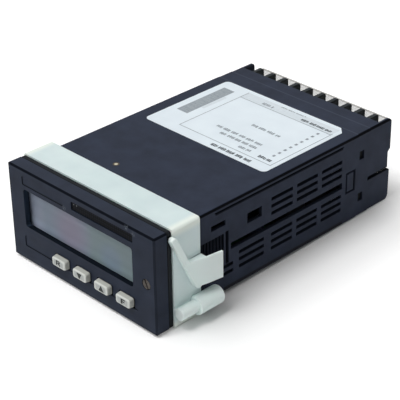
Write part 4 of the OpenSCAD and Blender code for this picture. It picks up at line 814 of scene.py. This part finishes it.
# shrink sleeves on the capacitors: dark blue, with a pale stripe down the back of each
canLook = {"colours": ("#121a2b", "#182238", 3.0), "firstX": 7.0, "pitch": 13.0,
           "shades": {"stripe": ("#8f97a3", 1.0, ("fromCan", None, 0.9, 0.1), ("y", 67.0, None, 0.1))}}
canSleeve, shader, inMm = startFinish("pvc_sleeve", *canLook["colours"], Roughness=0.35, IOR=1.53,
                                      Specular_IOR_Level=0.1)
tree = shader.id_data
places = splitPlace(inMm)
across = addNode(tree, "ShaderNodeMath", {0: places["x"], 1: canLook["firstX"]}, operation="SUBTRACT")
places["fromCan"] = addNode(tree, "ShaderNodeMath", {0: across.outputs[0], 1: canLook["pitch"] / 2},
                            operation="PINGPONG").outputs[0]
layShades(shader, places, canLook["shades"])
dress(canSleeve, "capacitors")
print("inner parts dressed")

# floor under the collar's foot and the sleeve's rear edge: white to the eye all round, with a painted shadow
# on the part's shadow side, where the floor is greyer and has no glow
floorLook = {"half": 4000.0, "restY": 16.0, "restZ": -24.5, "slope": 0.01964, "white": "#f3f3f3",
             "glow": 0.25, "shades": {"shadow": ("#eaeaea", 1.0, ("x", 30.0, 54.0, 40.0),
                                                 ("y", 20.0, 125.0, 40.0))}}
floorPaint, shader, inMm = startFinish("white_floor", floorLook["white"], Roughness=0.9,
                                       Specular_IOR_Level=0.0, Emission_Color=(1.0, 1.0, 1.0, 1.0))
tree = shader.id_data
# painted shadow: a greyer white and no glow on the part's shadow side
shadow = layShades(shader, splitPlace(inMm), floorLook["shades"])["shadow"]
glow = addNode(tree, "ShaderNodeMapRange", {"Value": shadow, "To Min": floorLook["glow"], "To Max": 0.0})
tree.links.new(joinMasks("MULTIPLY", seenByEye(tree), glow.outputs[0]), shader.inputs["Emission Strength"])
corner = np.array([(-1, -1), (1, -1), (1, 1), (-1, 1)]) * floorLook["half"]
height = floorLook["restZ"] + (corner[:, 1] - floorLook["restY"]) * floorLook["slope"]
floor = meshPiece("floor", np.column_stack([corner, height]), [[0, 1, 2, 3]], floorPaint, smooth=False)

# soft studio light: a white room, brighter overhead, and one wide soft lamp from the front left
lightLook = {"walls": 0.02, "ceiling": 0.6, "lamp": 2.0, "lampAngle": 26.0, "lampFrom": (-0.15, -0.5, 1.0)}
room = bpy.data.worlds.new("studio")
room.use_nodes = True
scene.world = room
tree = room.node_tree
tree.nodes.clear()
skyward = splitPlace(addNode(tree, "ShaderNodeTexCoord").outputs["Generated"])["z"]
dome = addNode(tree, "ShaderNodeMapRange", {"Value": skyward, "To Min": lightLook["walls"],
                                            "To Max": lightLook["ceiling"]}).outputs[0]
strength = addNode(tree, "ShaderNodeMapRange", {"Value": seenByEye(tree), "To Min": dome, "To Max": 1.0})
backdrop = addNode(tree, "ShaderNodeBackground",
                   {"Color": (1.0, 1.0, 1.0, 1.0), "Strength": strength.outputs[0]})
addNode(tree, "ShaderNodeOutputWorld", {"Surface": backdrop.outputs[0]})
lamp = bpy.data.lights.new("soft_lamp", "SUN")
lamp.energy = lightLook["lamp"]
lamp.angle = math.radians(lightLook["lampAngle"])
lampObject = bpy.data.objects.new("soft_lamp", lamp)
lampObject.rotation_euler = Vector(lightLook["lampFrom"]).to_track_quat("Z", "Y").to_euler()
scene.collection.objects.link(lampObject)

# camera at the photograph's place
cameraLook = {"azimuth": 45.853, "elevation": 29.991, "roll": -0.858, "distance": 626.735,
              "target": (24.105, 40.0, 12.582), "lens": 128.18, "sensor": 36.0, "clip": (0.01, 50.0)}
az, el, roll = (math.radians(cameraLook[key]) for key in ("azimuth", "elevation", "roll"))
away = np.array([math.cos(el) * math.sin(az), -math.cos(el) * math.cos(az), math.sin(el)])
level = np.array([math.cos(az), math.sin(az), 0.0])
upright = np.array([-math.sin(el) * math.sin(az), math.sin(el) * math.cos(az), math.cos(el)])
rightward = level * math.cos(roll) + upright * math.sin(roll)
upward = upright * math.cos(roll) - level * math.sin(roll)
stand = (np.array(cameraLook["target"]) + cameraLook["distance"] * away) * mm
lensData = bpy.data.cameras.new("camera")
lensData.lens = cameraLook["lens"]
lensData.sensor_width = cameraLook["sensor"]
lensData.clip_start, lensData.clip_end = cameraLook["clip"]
camera = bpy.data.objects.new("camera", lensData)
camera.matrix_world = Matrix([*np.column_stack([rightward, upward, away, stand]).tolist(), [0, 0, 0, 1]])
scene.collection.objects.link(camera)
scene.camera = camera
scene.view_settings.view_transform = "Standard"

print("scene ready")
